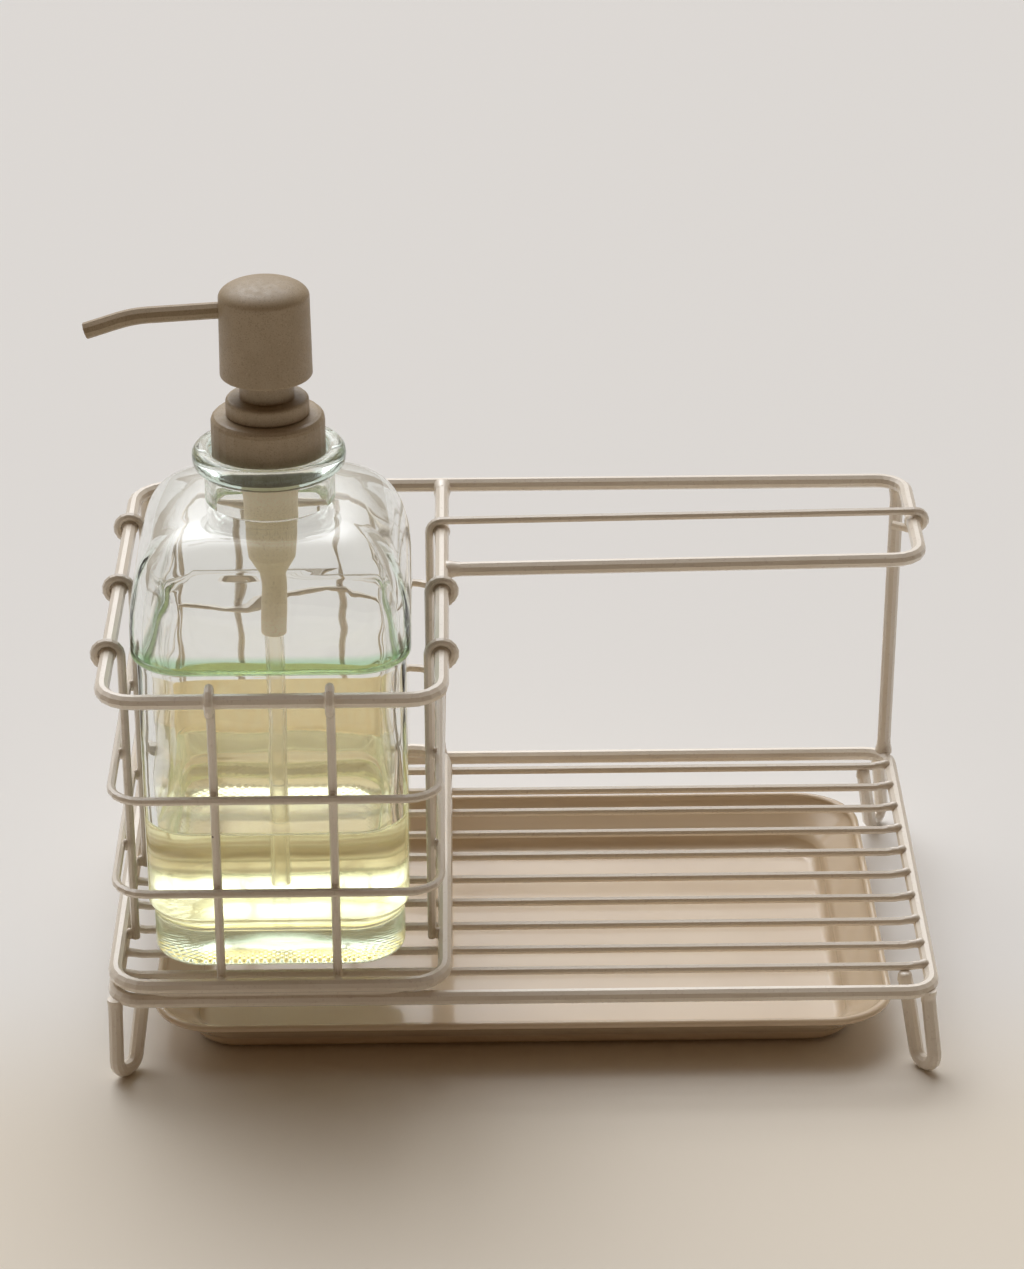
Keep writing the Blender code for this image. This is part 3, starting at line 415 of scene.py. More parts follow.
def soda_glass():
    """Soda glass: slow waves, a green edge at shoulder and lip, a painted yellow cast of the soap
    in the base, moulded dots under the base.
    """
    f = Finish("green_tinted_glass", Transmission_Weight=1.0, IOR=1.5)
    height = f.axis("Z") - BOTTLE.z
    shoulder = band(height, 100.6 * MM, 101.8 * MM, 105.6 * MM, 107.6 * MM)
    shoulder = shoulder * (1 - f.axis("Y").between(BOTTLE.y, BOTTLE.y + 30 * MM))
    lip = band(height, 151.6 * MM, 153.2 * MM, 156.6 * MM, 158.2 * MM)
    tint = f.blend(shoulder, (0.995, 1.0, 0.997), (0.60, 0.86, 0.66))
    tint = f.blend(lip, tint, (0.80, 0.93, 0.88))
    # The base is painted pale yellow: a painted reflection of the yellow soap seen in the heel.
    tint = f.blend(height.between(7 * MM, 14 * MM), (0.992, 0.975, 0.90), tint)
    foot = 1 - height.between(0.6 * MM, 1.6 * MM)
    dot_pitch = math.tau / (2.6 * MM)
    dots = (f.axis("X") * dot_pitch).sine() * (f.axis("Y") * dot_pitch).sine() * foot
    slow = f.relief((f.noise(30, 1.0), 0.2, 0.6 * MM), (f.noise(130, 2.0), 0.1, 0.1 * MM),
                    (dots, 0.25, 0.25 * MM))
    smear = f.noise(45, 4.0).between(0.55, 0.8, 0.0, 0.03)
    f.surface(Base_Color=tint, Normal=slow, Roughness=smear)
    f.absorb((0.12, 0.84, 0.40), 2.5)
    return f.material


def yellow_soap():
    # The faint emission is painted light: a glow that stands in for light passing through the
    # soap.
    f = Finish("yellow_liquid_soap", Roughness=0.1, Transmission_Weight=1.0, IOR=1.36,
               Emission_Color=(1.0, 0.95, 0.66, 1), Emission_Strength=0.05)
    f.surface(Base_Color=(0.998, 0.996, 0.97, 1),
              Normal=f.relief((f.noise(60, 1.0), 0.05, 0.2 * MM)))
    f.absorb((0.97, 0.905, 0.08), 8.0)
    return f.material


def spring_steel():
    f = Finish("spring_steel_wire", Metallic=1.0)
    drawn = f.noise(800, 3.0, (1, 1, 0.1)).between(0.3, 0.7)
    f.surface(Base_Color=f.blend(drawn, (0.50, 0.50, 0.51), (0.68, 0.68, 0.68)),
              Roughness=drawn * 0.1 + 0.2,
              Normal=f.relief((f.noise(2200, 2.0), 0.3, 0.02 * MM)))
    return f.material


def grey_rubber():
    f = Finish("grey_seal_rubber")
    grain = f.noise(600, 3.0).between(0.3, 0.7)
    f.surface(Base_Color=f.blend(grain, (0.30, 0.30, 0.28), (0.40, 0.40, 0.37)),
              Roughness=grain * 0.1 + 0.7,
              Normal=f.relief((f.noise(1600, 3.0), 0.3, 0.05 * MM)))
    return f.material


LABEL = cream_label_paper()
COAT = sand_powder_coat()
ENAMEL = cream_enamel()
TAUPE = taupe_plastic("taupe_pump_plastic", (0.385, 0.297, 0.19), (0.435, 0.34, 0.226), 0.46)
# The cylinder's emission is painted light: a warm glow standing in for light that reaches it
# through the glass and soap.
CYLINDER = taupe_plastic("cylinder_plastic", (0.88, 0.79, 0.63), (0.93, 0.85, 0.69), 0.42,
                         Emission_Color=(0.15, 0.115, 0.065, 1), Emission_Strength=1.0)
GLASS = soda_glass()
SOAP = yellow_soap()

FINISHES = {
    "powder_coat": COAT, "tray_enamel": ENAMEL, "taupe_plastic": TAUPE,
    "cylinder_plastic": CYLINDER, "milky_plastic": milky_plastic(),
    "bottle_glass": GLASS, "liquid_soap": SOAP,
    "spring_steel": spring_steel(), "seal_rubber": grey_rubber(),
}
for part in frame["record"]["subparts"]:
    node = frame["nodes"][part["node"]]
    if not node.material_slots:
        node.data.materials.append(None)
    for place in node.material_slots:
        place.material = FINISHES[part["material_slot"]]
    node.data.shade_smooth()
    node.data.set_sharp_from_angle(angle=math.radians(NODE_CREASE))


# Bottle and soap

def rounded_plate(name, place, half_x, half_y, corner, corner_steps=14, side_steps=8):
    """A flat plate with rounded corners and points along its sides, opened and selected."""
    piece = begin(name, bpy.ops.mesh.primitive_plane_add, size=2 * half_x, location=tuple(place))
    bpy.ops.transform.resize(value=(1, half_y / half_x, 1), center_override=tuple(place))
    bpy.ops.mesh.bevel(offset=corner, segments=corner_steps, affect="VERTICES", profile=0.5)
    pick("EDGE", lambda edge: edge.calc_length() > 3 * corner / corner_steps)
    bpy.ops.mesh.subdivide(number_cuts=side_steps - 1)
    bpy.ops.mesh.select_mode(type="FACE")
    pick_all()
    return piece


def selected_radii(centre):
    shape = bmesh.from_edit_mesh(bpy.context.edit_object.data)
    return [(vertex.co - centre).to_2d().length for vertex in shape.verts if vertex.select]


def squared(corner_share):
    """How much further a rounded square reaches across its corners than across its sides."""
    return math.sqrt(2) - corner_share * (math.sqrt(2) - 1)


def glass_shell(name, corner_share, levels):
    """Draws a rounded square up through levels and rounds it on the way.

    A level is a half width, how much further it reaches across corners, and a height.
    """
    half, _, height = levels[0]
    centre = BOTTLE + Vector((0, 0, height))
    shell = rounded_plate(name, centre, half, half, corner_share * half)
    radii = selected_radii(centre)
    mean = sum(radii) / len(radii) / half
    size, soft = half, 0.0
    for half, reach, level in levels[1:]:
        spread = squared(corner_share) - reach
        rounded = min(max(spread / (spread - mean * (1 - reach)), soft), 1.0)
        wanted = half / (1 - rounded + rounded * mean)
        draw_out((0, 0, level - height), (wanted / size, wanted / size, 1),
                 BOTTLE + Vector((0, 0, level)))
        if rounded > soft:
            bpy.ops.transform.tosphere(value=1 - (1 - rounded) / (1 - soft))
        size, soft, height = wanted, rounded, level
    bpy.ops.mesh.delete(type="ONLY_FACE")
    close()
    return shell


def dome(shoulder, neck, corner_share, foot, top, angle):
    """One level of the domed shoulder, squarest at its foot and round at the neck."""
    half = neck + (shoulder - neck) * math.cos(angle) ** 0.56
    flat = (1 - corner_share) * math.cos(angle) ** 0.5
    return half, squared(1 - flat), foot + (top - foot) * math.sin(angle) ** 0.9


def make_glass():
    """Outer and inner walls are drawn up apart, given slow waves and joined at the lip."""
    square, inner_square = squared(OUTER_CORNER), squared(INNER_CORNER)
    outside = [(half * MM, square, height * MM) for half, height in (
        (5, 2.2), (12, 2.1), (20, 1.8), (27, 1.2), (31, 0.6), (33, 0.2), (34, 0.0),
        (35.5, 0.1))]
    outside += [(HEEL - 3.2 * MM * (1 - math.sin(a)), square, 3.2 * MM * (1 - math.cos(a)))
                for a in spaced(math.radians(12), math.pi / 2, 6)]
    outside += [(HEEL, square, height * MM) for height in (6, 10, 14)]
    for share in spaced(0, 1, 6):
        ease = share * share * (3 - 2 * share)
        outside.append((HEEL + (BODY - HEEL) * ease, square, (15.6 + 3.2 * share) * MM))
    outside += [(BODY, square, height * MM) for height in spaced(22, 99, 16)]
    outside += [(half * MM, square, height * MM) for half, height in (
        (40.3, 100.7), (40.5, 101.3), (41.0, 101.7), (41.6, 102.1), (41.9, 102.7),
        (42.0, 103.5), (42.0, 106.2))]
    angles = [min(math.pi / 2 * share ** 1.25, math.pi / 2 - 1e-6)
              for share in spaced(0, 1, 28)]
    outside += [dome(SHOULDER, NECK, OUTER_CORNER, DOME_FOOT, DOME_TOP, a) for a in angles]
    outside += [(NECK, 1.0, height)
                for height in spaced(DOME_TOP + 2 * MM, NECK_TOP - 0.8 * MM, 3)]
    outside += [(half * MM, 1.0, height * MM) for half, height in (
        (19.75, 151.3), (20.5, 151.6), (21.6, 152.0), (22.5, 152.8), (22.95, 153.8),
        (23.1, 155.0), (23.1, 156.0), (22.85, 157.1), (22.2, 157.9), (21.3, 158.3),
        (20.4, 158.4))]
    inner, fold = BODY - WALL, BODY - WALL + 1.75 * MM
    inside = [(half * MM, inner_square, height * MM)
              for half, height in ((5, 12.5), (14, 12.1), (23, 11.4))]
    inside += [(inner - 6 * MM * (1 - math.sin(a)), inner_square,
                (11 + 6 * (1 - math.cos(a))) * MM) for a in spaced(0, math.pi / 2, 8)]
    inside += [(inner, inner_square, height * MM) for height in spaced(20, 99, 16)]
    inside += [(inner + (fold - inner) * share, inner_square, height * MM) for share, height in (
        (0, 100.6), (0.12, 101.2), (0.4, 101.6), (0.75, 102.0), (0.95, 102.6), (1, 103.4),
        (1, 105.2))]
    inside += [dome(fold, BORE, INNER_CORNER, DOME_FOOT - 1.2 * MM, DOME_TOP - WALL, a)
               for a in angles]
    inside += [(half * MM, 1.0, height * MM) for half, height in (
        (17.6, 144), (17.6, 150), (17.6, 156.2), (17.85, 157.2), (18.5, 158.0), (19.3, 158.35))]
    outer_wall = glass_shell("outer_wall", OUTER_CORNER, outside)
    inner_wall = glass_shell("inner_wall", INNER_CORNER, inside)
    blank = copy_of(outer_wall)
    wave(outer_wall, "outer", 22 * MM, 96 * MM, 0.5 * MM, 30 * MM, BODY - 17 * MM)
    wave(inner_wall, "inner", 14 * MM, 130 * MM, 1.4 * MM, 22 * MM, BODY)
    wetted = copy_of(inner_wall)
    glass = joined([outer_wall, inner_wall], "clear_glass_bottle")
    reopen(glass)
    top = BOTTLE.z + NECK_TOP
    pick("EDGE", lambda edge: edge.is_boundary and edge.verts[0].co.z > top)
    bpy.ops.mesh.bridge_edge_loops()
    close_skin()
    close()
    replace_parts(deliver(glass, GLASS, "bottle", 80), "glass_bottle")
    return blank, wetted


def wave(wall, name, low, high, depth, length, back):
    """Pushes a wall in and out by slow waves between two heights, in front of a given depth."""
    reopen(wall)
    pick("VERT", lambda vertex: (low < vertex.co.z - BOTTLE.z < high
                                 and vertex.co.y - BOTTLE.y < back))
    bpy.ops.object.vertex_group_assign_new()
    group = wall.vertex_groups.active
    group.name = name
    close()
    cloud = bpy.data.textures.new(name + "_waves", "CLOUDS")
    cloud.noise_scale = length
    bpy.ops.object.modifier_add(type="DISPLACE")
    modifier = wall.modifiers[-1]
    modifier.texture = cloud
    modifier.vertex_group = group.name
    modifier.strength = depth
    modifier.mid_level = 0.5
    bpy.ops.object.modifier_apply(modifier=modifier.name)


def make_soap(wetted):
    """The liquid fills a copy of the inner wall, a hair into the glass; its edge curls up."""
    wetted.name = wetted.data.name = "yellow_soap_fill"
    reopen(wetted)
    rim = BOTTLE.z + SOAP_LEVEL + SOAP_CURL
    bpy.ops.mesh.bisect(plane_co=(0, 0, rim), plane_no=(0, 0, 1), use_fill=True,
                        clear_outer=True)
    close_skin()
    bpy.ops.transform.shrink_fatten(value=SOAP_OVERLAP)
    pick("FACE", lambda face: (len(face.verts) > 40
                               and face.calc_center_median().z > rim - 1 * MM))
    for thickness, fall in ((0.3, 0.5), (0.4, 0.4), (0.6, 0.25), (0.9, 0.12), (1.4, 0.03),
                            (2, 0)):
        bpy.ops.mesh.inset(thickness=thickness * MM, depth=-fall * MM)
    close_skin()
    close()
    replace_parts(deliver(wetted, SOAP, "bottle", 80), "liquid_soap")


def make_back_label(label):
    """A bare cream label round the back of the body, seen through the glass from the front."""
    label.name = label.data.name = "bare_back_label"
    reopen(label)
    cuts = (((0, 0, BOTTLE.z + LABEL_FOOT), (0, 0, -1)),
            ((0, 0, BOTTLE.z + LABEL_TOP), (0, 0, 1)),
            ((0, BOTTLE.y + BODY - LABEL_WRAP, 0), (0, -1, 0)))
    for place, direction in cuts:
        pick_all()
        bpy.ops.mesh.bisect(plane_co=place, plane_no=direction, clear_outer=True)
    pick_all()
    bpy.ops.mesh.normals_make_consistent(inside=False)
    pick("FACE", facing((0, 1, 0)))
    if not any(face.select for face in bmesh.from_edit_mesh(label.data).faces):
        pick_all()
        bpy.ops.mesh.flip_normals()
    pick_all()
    bpy.ops.transform.shrink_fatten(value=LABEL_LIFT)
    close()
    bpy.ops.object.modifier_add(type="SOLIDIFY")
    modifier = label.modifiers[-1]
    modifier.thickness = LABEL_THICKNESS
    modifier.offset = 1
    bpy.ops.object.modifier_apply(modifier=modifier.name)
    deliver(label, LABEL, "bottle", crease=30)


label_blank, wetted_wall = make_glass()
make_soap(wetted_wall)
make_back_label(label_blank)


# Tray

def make_tray():
    """Two skins are drawn down from the rim, and the rolled lip is drawn over between them."""
    lip, wall, heel, flare = TRAY_LIP, TRAY_WALL, TRAY_HEEL, TRAY_FLARE
    rim = TRAY_HEIGHT - lip
    tuck, brink = rim - 1.3 * MM, rim - 0.8 * MM
    outside = [(0, rim), (0.25 * MM, brink), (lip, tuck)]
    outside += [(lip + (flare - lip) * share, tuck - (tuck - heel) * share)
                for share in spaced(0, 1, 5)[1:]]
    outside += [(flare + heel * (1 - math.cos(a)), heel * (1 - math.sin(a)))
                for a in spaced(0, math.pi / 2, 8)[1:]]
    outside += [(30 * MM, 0.0), (46 * MM, 0.0)]
    edge = 2 * lip + 0.3 * MM
    inside = [(2 * lip, rim), (edge, brink)]
    inside += [(edge + (flare + wall - edge) * share, brink - (brink - wall - heel) * share)
               for share in spaced(0, 1, 5)[1:]]
    inside += [(flare + wall + heel * (1 - math.cos(a)), wall + heel * (1 - math.sin(a)))
               for a in spaced(0, math.pi / 2, 8)[1:]]
    inside += [(30 * MM, wall), (46 * MM, wall)]
    outer_skin = dish_skin("tray_outside", outside)
    inner_skin = dish_skin("tray_inside", inside)
    reopen(outer_skin)
    pick("EDGE", lambda edge: edge.is_boundary)
    inset = 0.0
    for a in spaced(0, math.pi, 8)[1:-1]:
        new_inset = lip - lip * math.cos(a)
        widths = [(half - new_inset) / (half - inset) for half in TRAY_HALVES]
        rise = lip * math.sin(a) - (lip * math.sin(a - math.pi / 8))
        draw_out((0, 0, rise), (*widths, 1), SHIFT + Vector((0, 0, rim)))
        inset = new_inset
    close()
    tray = joined([outer_skin, inner_skin], "enamelled_drip_tray")
    reopen(tray)
    pick("EDGE", lambda edge: edge.is_boundary)
    bpy.ops.mesh.bridge_edge_loops()
    close_skin()
    close()
    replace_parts(deliver(tray, ENAMEL, "tray", 60), "drip_tray")


def dish_skin(name, levels):
    """Draws a rounded plate down through (inset, height) levels and tightens its corners."""
    inset, height = levels[0]
    centre = SHIFT + Vector((0, 0, height))
    half_x, half_y = (half - inset for half in TRAY_HALVES)
    skin = rounded_plate(name, centre, half_x, half_y, TRAY_CORNER - 0.5 * inset, 12, 8)
    draw_out((0, 0, 0))
    for new_inset, new_height in levels[1:]:
        step = new_inset - inset
        tighten = 0.43 * step if new_inset < 25 * MM else 0.0
        if tighten > 0:
            bpy.ops.mesh.inset(thickness=tighten, depth=0)
            bpy.ops.transform.translate(value=(0, 0, new_height - height))
        else:
            draw_out((0, 0, new_height - height))
        widths = [(half - new_inset) / (half - inset - tighten) for half in TRAY_HALVES]
        bpy.ops.transform.resize(value=(*widths, 1), center_override=tuple(centre))
        inset, height = new_inset, new_height
    pick_all()
    bpy.ops.mesh.remove_doubles(threshold=MERGE_DISTANCE)
    top = levels[0][1]
    pick("FACE", lambda face: (len(face.verts) > 40
                               and abs(face.calc_center_median().z - top) < 0.01 * MM))
    bpy.ops.mesh.delete(type="ONLY_FACE")
    close()
    return skin


make_tray()


# Pump head and return spring

def lathe(name, place, profile, steps):
    """Draws a point along (radius, height) steps and spins the line about an upright axis."""
    piece = begin(name, bpy.ops.mesh.primitive_plane_add, size=1 * MM, location=tuple(place))
    bpy.ops.mesh.merge(type="CENTER")
    radius, height = profile[0]
    bpy.ops.mesh.select_mode(type="VERT")
    pick_all()
    bpy.ops.transform.translate(value=(radius, 0, height))
    for new_radius, new_height in profile[1:]:
        draw_out((new_radius - radius, 0, new_height - height))
        radius, height = new_radius, new_height
    pick_all()
    bpy.ops.mesh.spin(steps=steps, angle=math.tau, center=tuple(place), axis=(0, 0, 1))
    close_skin()
    close()
    return piece


def make_pump_head():
    """A slightly tapered cap with a soft crown, hollow below where it slides over the retainer."""
    foot, top, radius, crown = 22.4 * MM, 51.9 * MM, 13.8 * MM, 4.9 * MM
    taper, edge, bore, socket = 0.3 * MM, 0.8 * MM, 12.85 * MM, 3.8 * MM
    brow = radius - taper
    profile = [(0.0, top)]
    for share in spaced(0, 1, 22)[1:]:
        reach = math.sin(share * math.pi / 2) ** 0.86
        profile.append((brow * reach, top - crown * (1 - (1 - reach ** 2.25) ** 0.5)))
    profile += [(brow + taper * share, top - crown - (top - crown - foot - 1 * MM) * share)
                for share in spaced(0, 1, 5)[1:]]
    profile += [(radius - edge * (1 - math.cos(a)), foot + edge * (1 - math.sin(a)))
                for a in spaced(0, math.pi / 2, 5)]
    ceiling, socket_top = foot + 17 * MM, foot + 22.6 * MM
    profile += [(12.9 * MM, foot), (bore, foot + 0.2 * MM), (bore, ceiling)]
    profile += [(socket, ceiling), (socket, socket_top), (0.0, socket_top)]
    head = lathe("crowned_pump_head", PUMP, profile, 72)
    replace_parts(deliver(head, TAUPE, "head", 40), "pump_head")


make_pump_head()


def make_return_spring():
    """The pump's helix stands on the cylinder's ledge."""
    helix = frame["nodes"]["return_spring"].data.copy()
    spring = bpy.data.objects.new("coiled_return_spring", helix)
    bpy.context.scene.collection.objects.link(spring)
    reopen(spring)
    bpy.ops.mesh.remove_doubles(threshold=MERGE_DISTANCE)
    close()
    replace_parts(deliver(spring, FINISHES["spring_steel"], "closure", NODE_CREASE),
                "return_spring")
    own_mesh(spring)


make_return_spring()


# Welds, paint fillets and rounded wire ends

def at(x, y, z):
    return Vector((x, y, z)) + SHIFT


def rod(name, foot, axis, rings, radius):
    """A stub of wire along an axis, drawn on through (step, radius) rings from its foot."""
    axis = Vector(axis).normalized()
    first = rings[0][0]
    middle = foot + axis * first / 2
    angles = axis.to_track_quat("Z", "Y").to_euler()
    piece = begin(name, bpy.ops.mesh.primitive_cylinder_add, vertices=16, radius=radius,
                  depth=first, location=tuple(middle), rotation=tuple(angles))
    pick("FACE", facing(axis))
    end, width = foot + axis * first, radius
    for step, new_radius in rings[1:]:
        end = end + axis * step
        share = new_radius / width
        draw_out(axis * step, (share, share, share), end)
        width = new_radius
    pick_all()
    bpy.ops.mesh.normals_make_consistent(inside=False)
    close()
    return piece


def grid_end_welds():
    """Each grid wire ends in a swollen round tip, melted onto the ring's inner shoulder."""
    pieces = []
    tip = None
    rings = [(1.6 * MM, 1.38 * MM), (0.7 * MM, 1.42 * MM), (0.6 * MM, 1.58 * MM),
             (0.6 * MM, 1.66 * MM), (0.55 * MM, 1.52 * MM), (0.4 * MM, 1.2 * MM),
             (0.25 * MM, 0.75 * MM), (0.1 * MM, 0.3 * MM)]
    for i in range(GRID_WIRES):
        y = (i - (GRID_WIRES - 1) / 2) * GRID_PITCH + (0 if i else FIRST_WIRE_SHIFT)
        right = RIGHT + RING_WIDENING * (y - FRONT) / (BACK - FRONT)
        if tip is None:
            first_y = y
            foot = at(LEFT + 5.0 * MM, y, GRID_HEIGHT + 0.32 * MM)
            tip = rod("wire_tip", foot, (-1, 0, 0.13), rings, THIN_PAINTED)
            pieces.append(tip)
        else:
            pieces.append(copy_of(tip, (0, y - first_y, 0)))
        middle = at((LEFT + right) / 2, first_y, 0)
        pieces.append(copy_of(tip, (0, y - first_y, 0), math.pi, middle))
    return pieces


def beads_between_wires():
    """Paint fills the crevice where an upright meets a hoop or the basket's ring."""
    rest = at(0, 0, 0)
    bead = begin("crevice_bead", bpy.ops.mesh.primitive_uv_sphere_add, segments=16, ring_count=10,
                 radius=1.3 * MM, location=tuple(rest))
    bpy.ops.transform.resize(value=(1, 1, 1.5), center_override=tuple(rest))
    pick("VERT", lambda vertex: abs(vertex.co.z) < 0.7 * MM)
    bpy.ops.transform.resize(value=(0.9, 0.9, 1), center_override=tuple(rest))
    pick_all()
    bpy.ops.mesh.vertices_smooth(factor=0.5)
    close()
    inset = 2.55 * MM
    uprights = [(x, FRONT + inset) for x in FRONT_WIRES]
    uprights += [(x, BACK - inset) for x in FRONT_WIRES]
    uprights += [(RAIL_LEFT + inset, y) for y in LEFT_WIRES]
    uprights += [(DIVIDER - inset, y) for y in DIVIDER_UPRIGHTS]
    places = [(x, y, height) for x, y in uprights for height in HOOP_HEIGHTS]
    places += [(LEFT + 2.75 * MM, y, BASKET_HEIGHT) for y in LEFT_WIRES]
    places += [(DIVIDER - 2.35 * MM, y, BASKET_HEIGHT) for y in DIVIDER_UPRIGHTS]
    places += [(x, FRONT + 2.35 * MM, BASKET_HEIGHT) for x in FRONT_WIRES]
    places += [(x, 76.9 * MM, BASKET_HEIGHT + 2.0 * MM) for x in FRONT_WIRES]
    copies = [copy_of(bead, place) for place in places]
    bpy.data.objects.remove(bead)
    return copies


def hook_saddles():
    """Under each hook the paint fills the gap to the rail and thins out along it."""
    rings = [(0.8 * MM, THICK_PAINTED), (0.7 * MM, 2.5 * MM), (0.5 * MM, 2.72 * MM),
             (1.0 * MM, 2.72 * MM), (0.5 * MM, 2.5 * MM), (0.7 * MM, THICK_PAINTED)]
    half = 1.7 * MM + 0.4 * MM
    pieces = []
    along_y = [(RAIL_LEFT, y) for y in LEFT_WIRES]
    along_y += [(DIVIDER, y) for y in DIVIDER_UPRIGHTS]
    x, y = along_y[0]
    saddle = rod("saddle", at(x, y - half, RAIL_HEIGHT), (0, 1, 0), rings, 2.28 * MM)
    pieces.append(saddle)
    pieces += [copy_of(saddle, (other - x, place - y, 0)) for other, place in along_y[1:]]
    outer = TOWEL_RIGHT - 0.4 * MM
    pieces.append(copy_of(saddle, (outer - x, TOWEL_WIRE + 5 * MM - y, 0)))
    turned = copy_of(saddle, (FRONT_WIRES[0] - x, FRONT - y, 0), math.pi / 2,
                     at(x, y, RAIL_HEIGHT))
    pieces += [turned, copy_of(turned, (FRONT_WIRES[1] - FRONT_WIRES[0], 0, 0))]
    return pieces


def hook_tips():
    """A round end on each hook, melted towards the rail below it."""
    lean = Vector((math.cos(HOOK_TURN), 0, math.sin(HOOK_TURN))) * HOOK_REACH
    run = Vector((-math.sin(HOOK_TURN), 0, math.cos(HOOK_TURN)))
    rings = [(0.9 * MM, 1.37 * MM), (0.5 * MM, THIN_PAINTED), (0.5 * MM, 1.2 * MM),
             (0.35 * MM, 0.85 * MM), (0.15 * MM, 0.35 * MM)]
    pieces = []
    for centre_x, wires, turn in ((RAIL_LEFT, LEFT_WIRES, 0.0), (DIVIDER, DIVIDER_WIRES, math.pi)):
        for y in wires:
            over = at(centre_x, y, RAIL_HEIGHT)
            if not pieces:
                tip = rod("hook_tip", over + lean - run * 0.8 * MM, run, rings, THIN_PAINTED)
                pieces.append(tip)
                first = over
            else:
                pieces.append(copy_of(tip, over - first, turn, first))
    for x in FRONT_WIRES:
        over = at(x, FRONT, RAIL_HEIGHT)
        pieces.append(copy_of(tip, over - first, math.pi / 2, first))
    return pieces


def butt_fillets():
    """A flare of paint where a post or a rail's end meets the wire that carries it."""
    rings = [(1.0 * MM, 2.95 * MM), (0.8 * MM, 2.72 * MM), (0.9 * MM, 2.48 * MM),
             (1.1 * MM, 2.35 * MM), (0.8 * MM, 2.29 * MM)]
    rear = BACK - 1.2 * MM
    posts = [
        ((LEFT + 1.5 * MM, rear), (LEFT + 3.8 * MM, BACK - 3.8 * MM)),
        ((DIVIDER - 2.3 * MM, BACK), (DIVIDER, BACK)),
        ((RIGHT + 0.2 * MM, rear), (RIGHT + 1.2 * MM, rear)),
    ]
    pieces = []
    for low, high in posts:
        foot, head = at(*low, BASE_HEIGHT + 1.3 * MM), at(*high, RAIL_HEIGHT - 1.3 * MM)
        pieces.append(rod("post_fillet", foot, head - foot, rings, 2.9 * MM))
        pieces.append(rod("post_fillet", head, foot - head, rings, 2.9 * MM))
    rail_ends = [
        (at(DIVIDER, BACK - 1.3 * MM, RAIL_HEIGHT), (0, -1, 0)),
        (at(DIVIDER + 1.3 * MM, TOWEL_FRONT - 4.0 * MM, RAIL_HEIGHT), (1, 0.026, 0)),
    ]
    pieces += [rod("rail_fillet", end, along, rings, 2.8 * MM) for end, along in rail_ends]
    return pieces


def foot_fillets():
    """Each leg's top runs into the wire above it."""
    tops = {
        -1: ((124.8 * MM, 77.4 * MM), (116.7 * MM, 66.5 * MM)),
        1: ((123.6 * MM, 77.4 * MM), (117.4 * MM, 67.3 * MM)),
    }
    outer = [(1.6 * MM, THICK_PAINTED), (0.8 * MM, 2.38 * MM), (0.8 * MM, 2.5 * MM),
             (0.8 * MM, 2.35 * MM)]
    inner = [(1.2 * MM, THICK_PAINTED), (0.7 * MM, 2.25 * MM), (0.6 * MM, 2.0 * MM),
             (0.5 * MM, 1.5 * MM)]
    pieces = []
    for side, (outer_top, inner_top) in tops.items():
        for depth in (-1, 1):
            foot = at(side * outer_top[0], depth * outer_top[1], 23.4 * MM)
            pieces.append(rod("leg_fillet", foot, (0, 0, 1), outer, THICK_PAINTED))
            foot = at(side * inner_top[0], depth * inner_top[1], 24.8 * MM)
            pieces.append(rod("leg_fillet", foot, (0, 0, 1), inner, THICK_PAINTED))
    return pieces


def ring_seams():
    """Paint fills the seam between the basket's ring and the base ring, front and left."""
    seam = BASE_HEIGHT + (BASKET_HEIGHT - BASE_HEIGHT) / 2
    start = [(1.0 * MM, 0.3 * MM), (2.5 * MM, 0.8 * MM), (3.0 * MM, 1.2 * MM)]
    end = [(3.0 * MM, 0.8 * MM), (2.5 * MM, 0.3 * MM)]
    front_length, left_length = 66 * MM, 118 * MM
    front = rod("seam", at(LEFT + 10 * MM, FRONT, seam), (1, 0, 0),
                start + [(front_length, 1.2 * MM)] + end, 0.3 * MM)
    left = rod("seam", at(LEFT, FRONT + 10 * MM, seam), (0, 1, 0),
               start + [(left_length, 1.2 * MM)] + end, 0.3 * MM)
    return [front, left]


for name, pieces in (
    ("grid_end_welds", grid_end_welds()), ("crevice_beads", beads_between_wires()),
    ("hook_saddles", hook_saddles()), ("hook_tips", hook_tips()),
    ("butt_fillets", butt_fillets()), ("foot_fillets", foot_fillets()),
    ("ring_seams", ring_seams()),
):
    deliver(joined(pieces, name), COAT, "rack", 60)


# Floor, light and camera

def make_floor():
    """Plain pale paper with painted warm shade towards the front, where the object's shadow falls.
    """
    paper = Finish("studio_paper", Roughness=0.85)
    depth = paper.axis("Y")
    # The warm blend is painted warm shade, deepest just in front of the object.
    warm = paper.blend(depth.between(-0.30, -0.16),
                       (0.850, 0.815, 0.745), (0.860, 0.795, 0.690))
    pale = paper.blend(depth.between(-0.13, 0.0), warm, (0.870, 0.862, 0.848))
    paper.surface(Base_Color=pale)
    floor = begin("studio_floor", bpy.ops.mesh.primitive_plane_add, size=FLOOR_SIZE)
    close()
    floor.data.materials.append(paper.material)


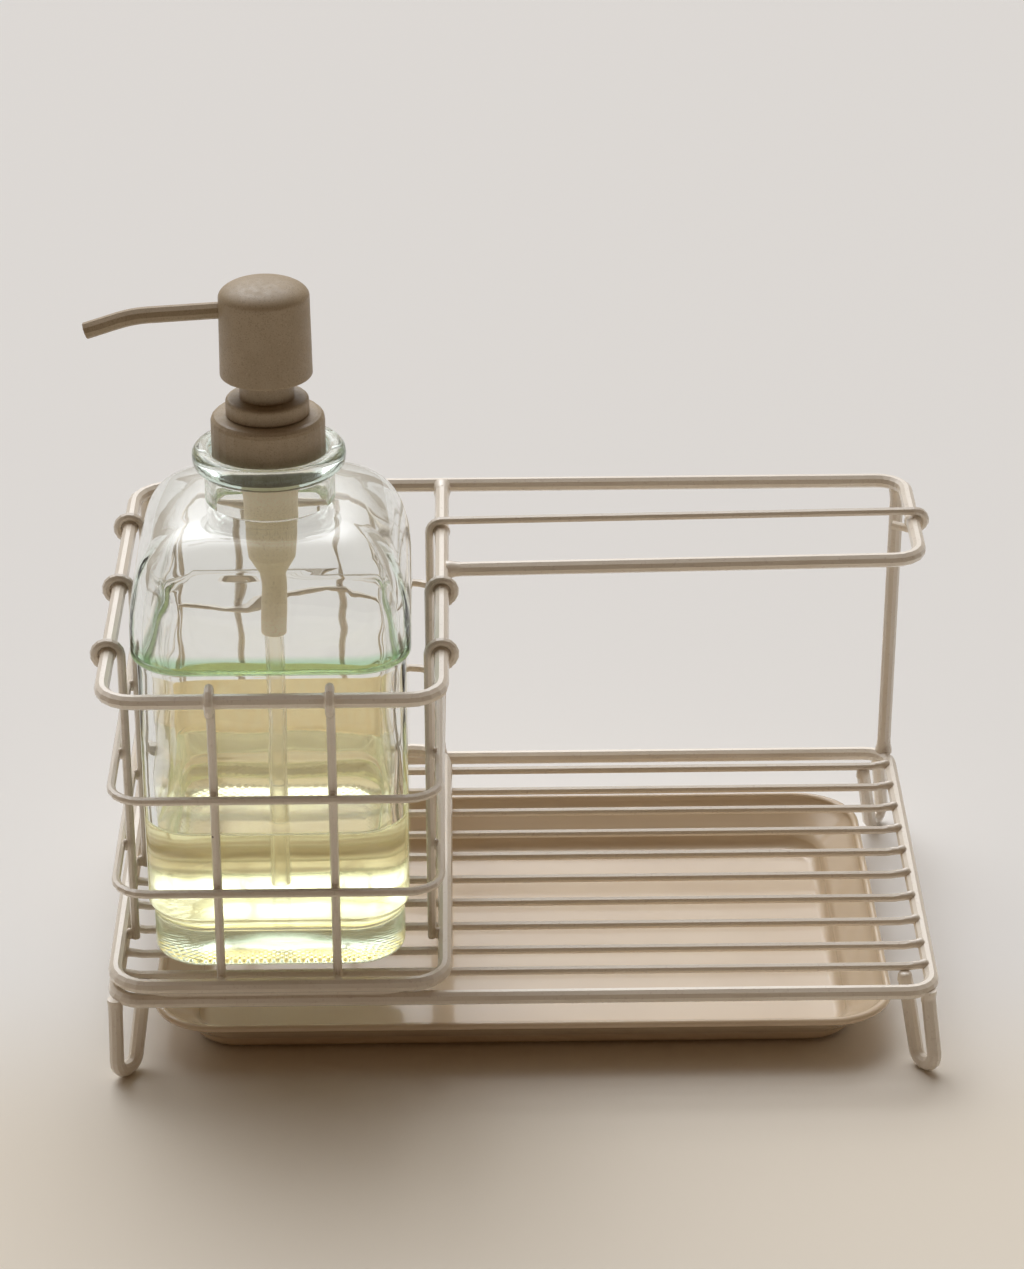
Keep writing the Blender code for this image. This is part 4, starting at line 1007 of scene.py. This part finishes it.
class Air(Finish):
    """The room's light as nodes, read by direction."""

    def __init__(self, world):
        world.use_nodes = True
        self.tree = world.node_tree
        self.place = self.node("ShaderNodeTexCoord").outputs["Generated"]

    def towards(self, direction):
        """How nearly a direction of view agrees with the given one, 1 at best."""
        node = self.node("ShaderNodeVectorMath", {"operation": "DOT_PRODUCT"},
                         {0: self.point(), 1: tuple(Vector(direction).normalized())})
        return Value(self, node.outputs["Value"])


def make_air():
    """A broad soft light above and behind, a bright room behind, a dim warm one in front."""
    world = bpy.data.worlds.new("studio_air")
    bpy.context.scene.world = world
    air = Air(world)
    behind = air.towards((0, 1, 0)).between(-0.6, 0.85)
    key = air.towards(KEY_DIRECTION).at_least(0.0) ** KEY_GATHER
    room = air.blend(behind, ROOM_IN_FRONT, ROOM_BEHIND)
    air.feed(air.tree.nodes["Background"],
             {"Color": air.blend(key, room, KEY_LIGHT), "Strength": 1.0})


def make_camera():
    """The camera stands where the photograph was taken from, with no shift."""
    camera = bpy.data.cameras.new("photo_camera")
    camera.sensor_fit = "VERTICAL"
    camera.sensor_height = SENSOR_HEIGHT
    camera.lens = FOCAL_PIXELS * SENSOR_HEIGHT / PHOTO_HEIGHT
    camera.clip_start = CLIP_NEAR
    camera.clip_end = CLIP_FAR
    view = bpy.data.objects.new("photo_camera", camera)
    forward = CAMERA_FORWARD.normalized()
    right = (CAMERA_RIGHT - CAMERA_RIGHT.dot(forward) * forward).normalized()
    up = right.cross(forward)
    matrix = Matrix((right, up, -forward)).transposed().to_4x4()
    matrix.translation = CAMERA_PLACE
    view.matrix_world = matrix
    bpy.context.scene.collection.objects.link(view)
    bpy.context.scene.camera = view


make_floor()
make_air()
make_camera()
bpy.context.scene.view_settings.view_transform = "Standard"
# Light needs many steps to get out of thick glass, and stray bright specks are capped
bpy.context.scene.cycles.max_bounces = 24
bpy.context.scene.cycles.glossy_bounces = 16
bpy.context.scene.cycles.transmission_bounces = 24
bpy.context.scene.cycles.sample_clamp_indirect = 3.0
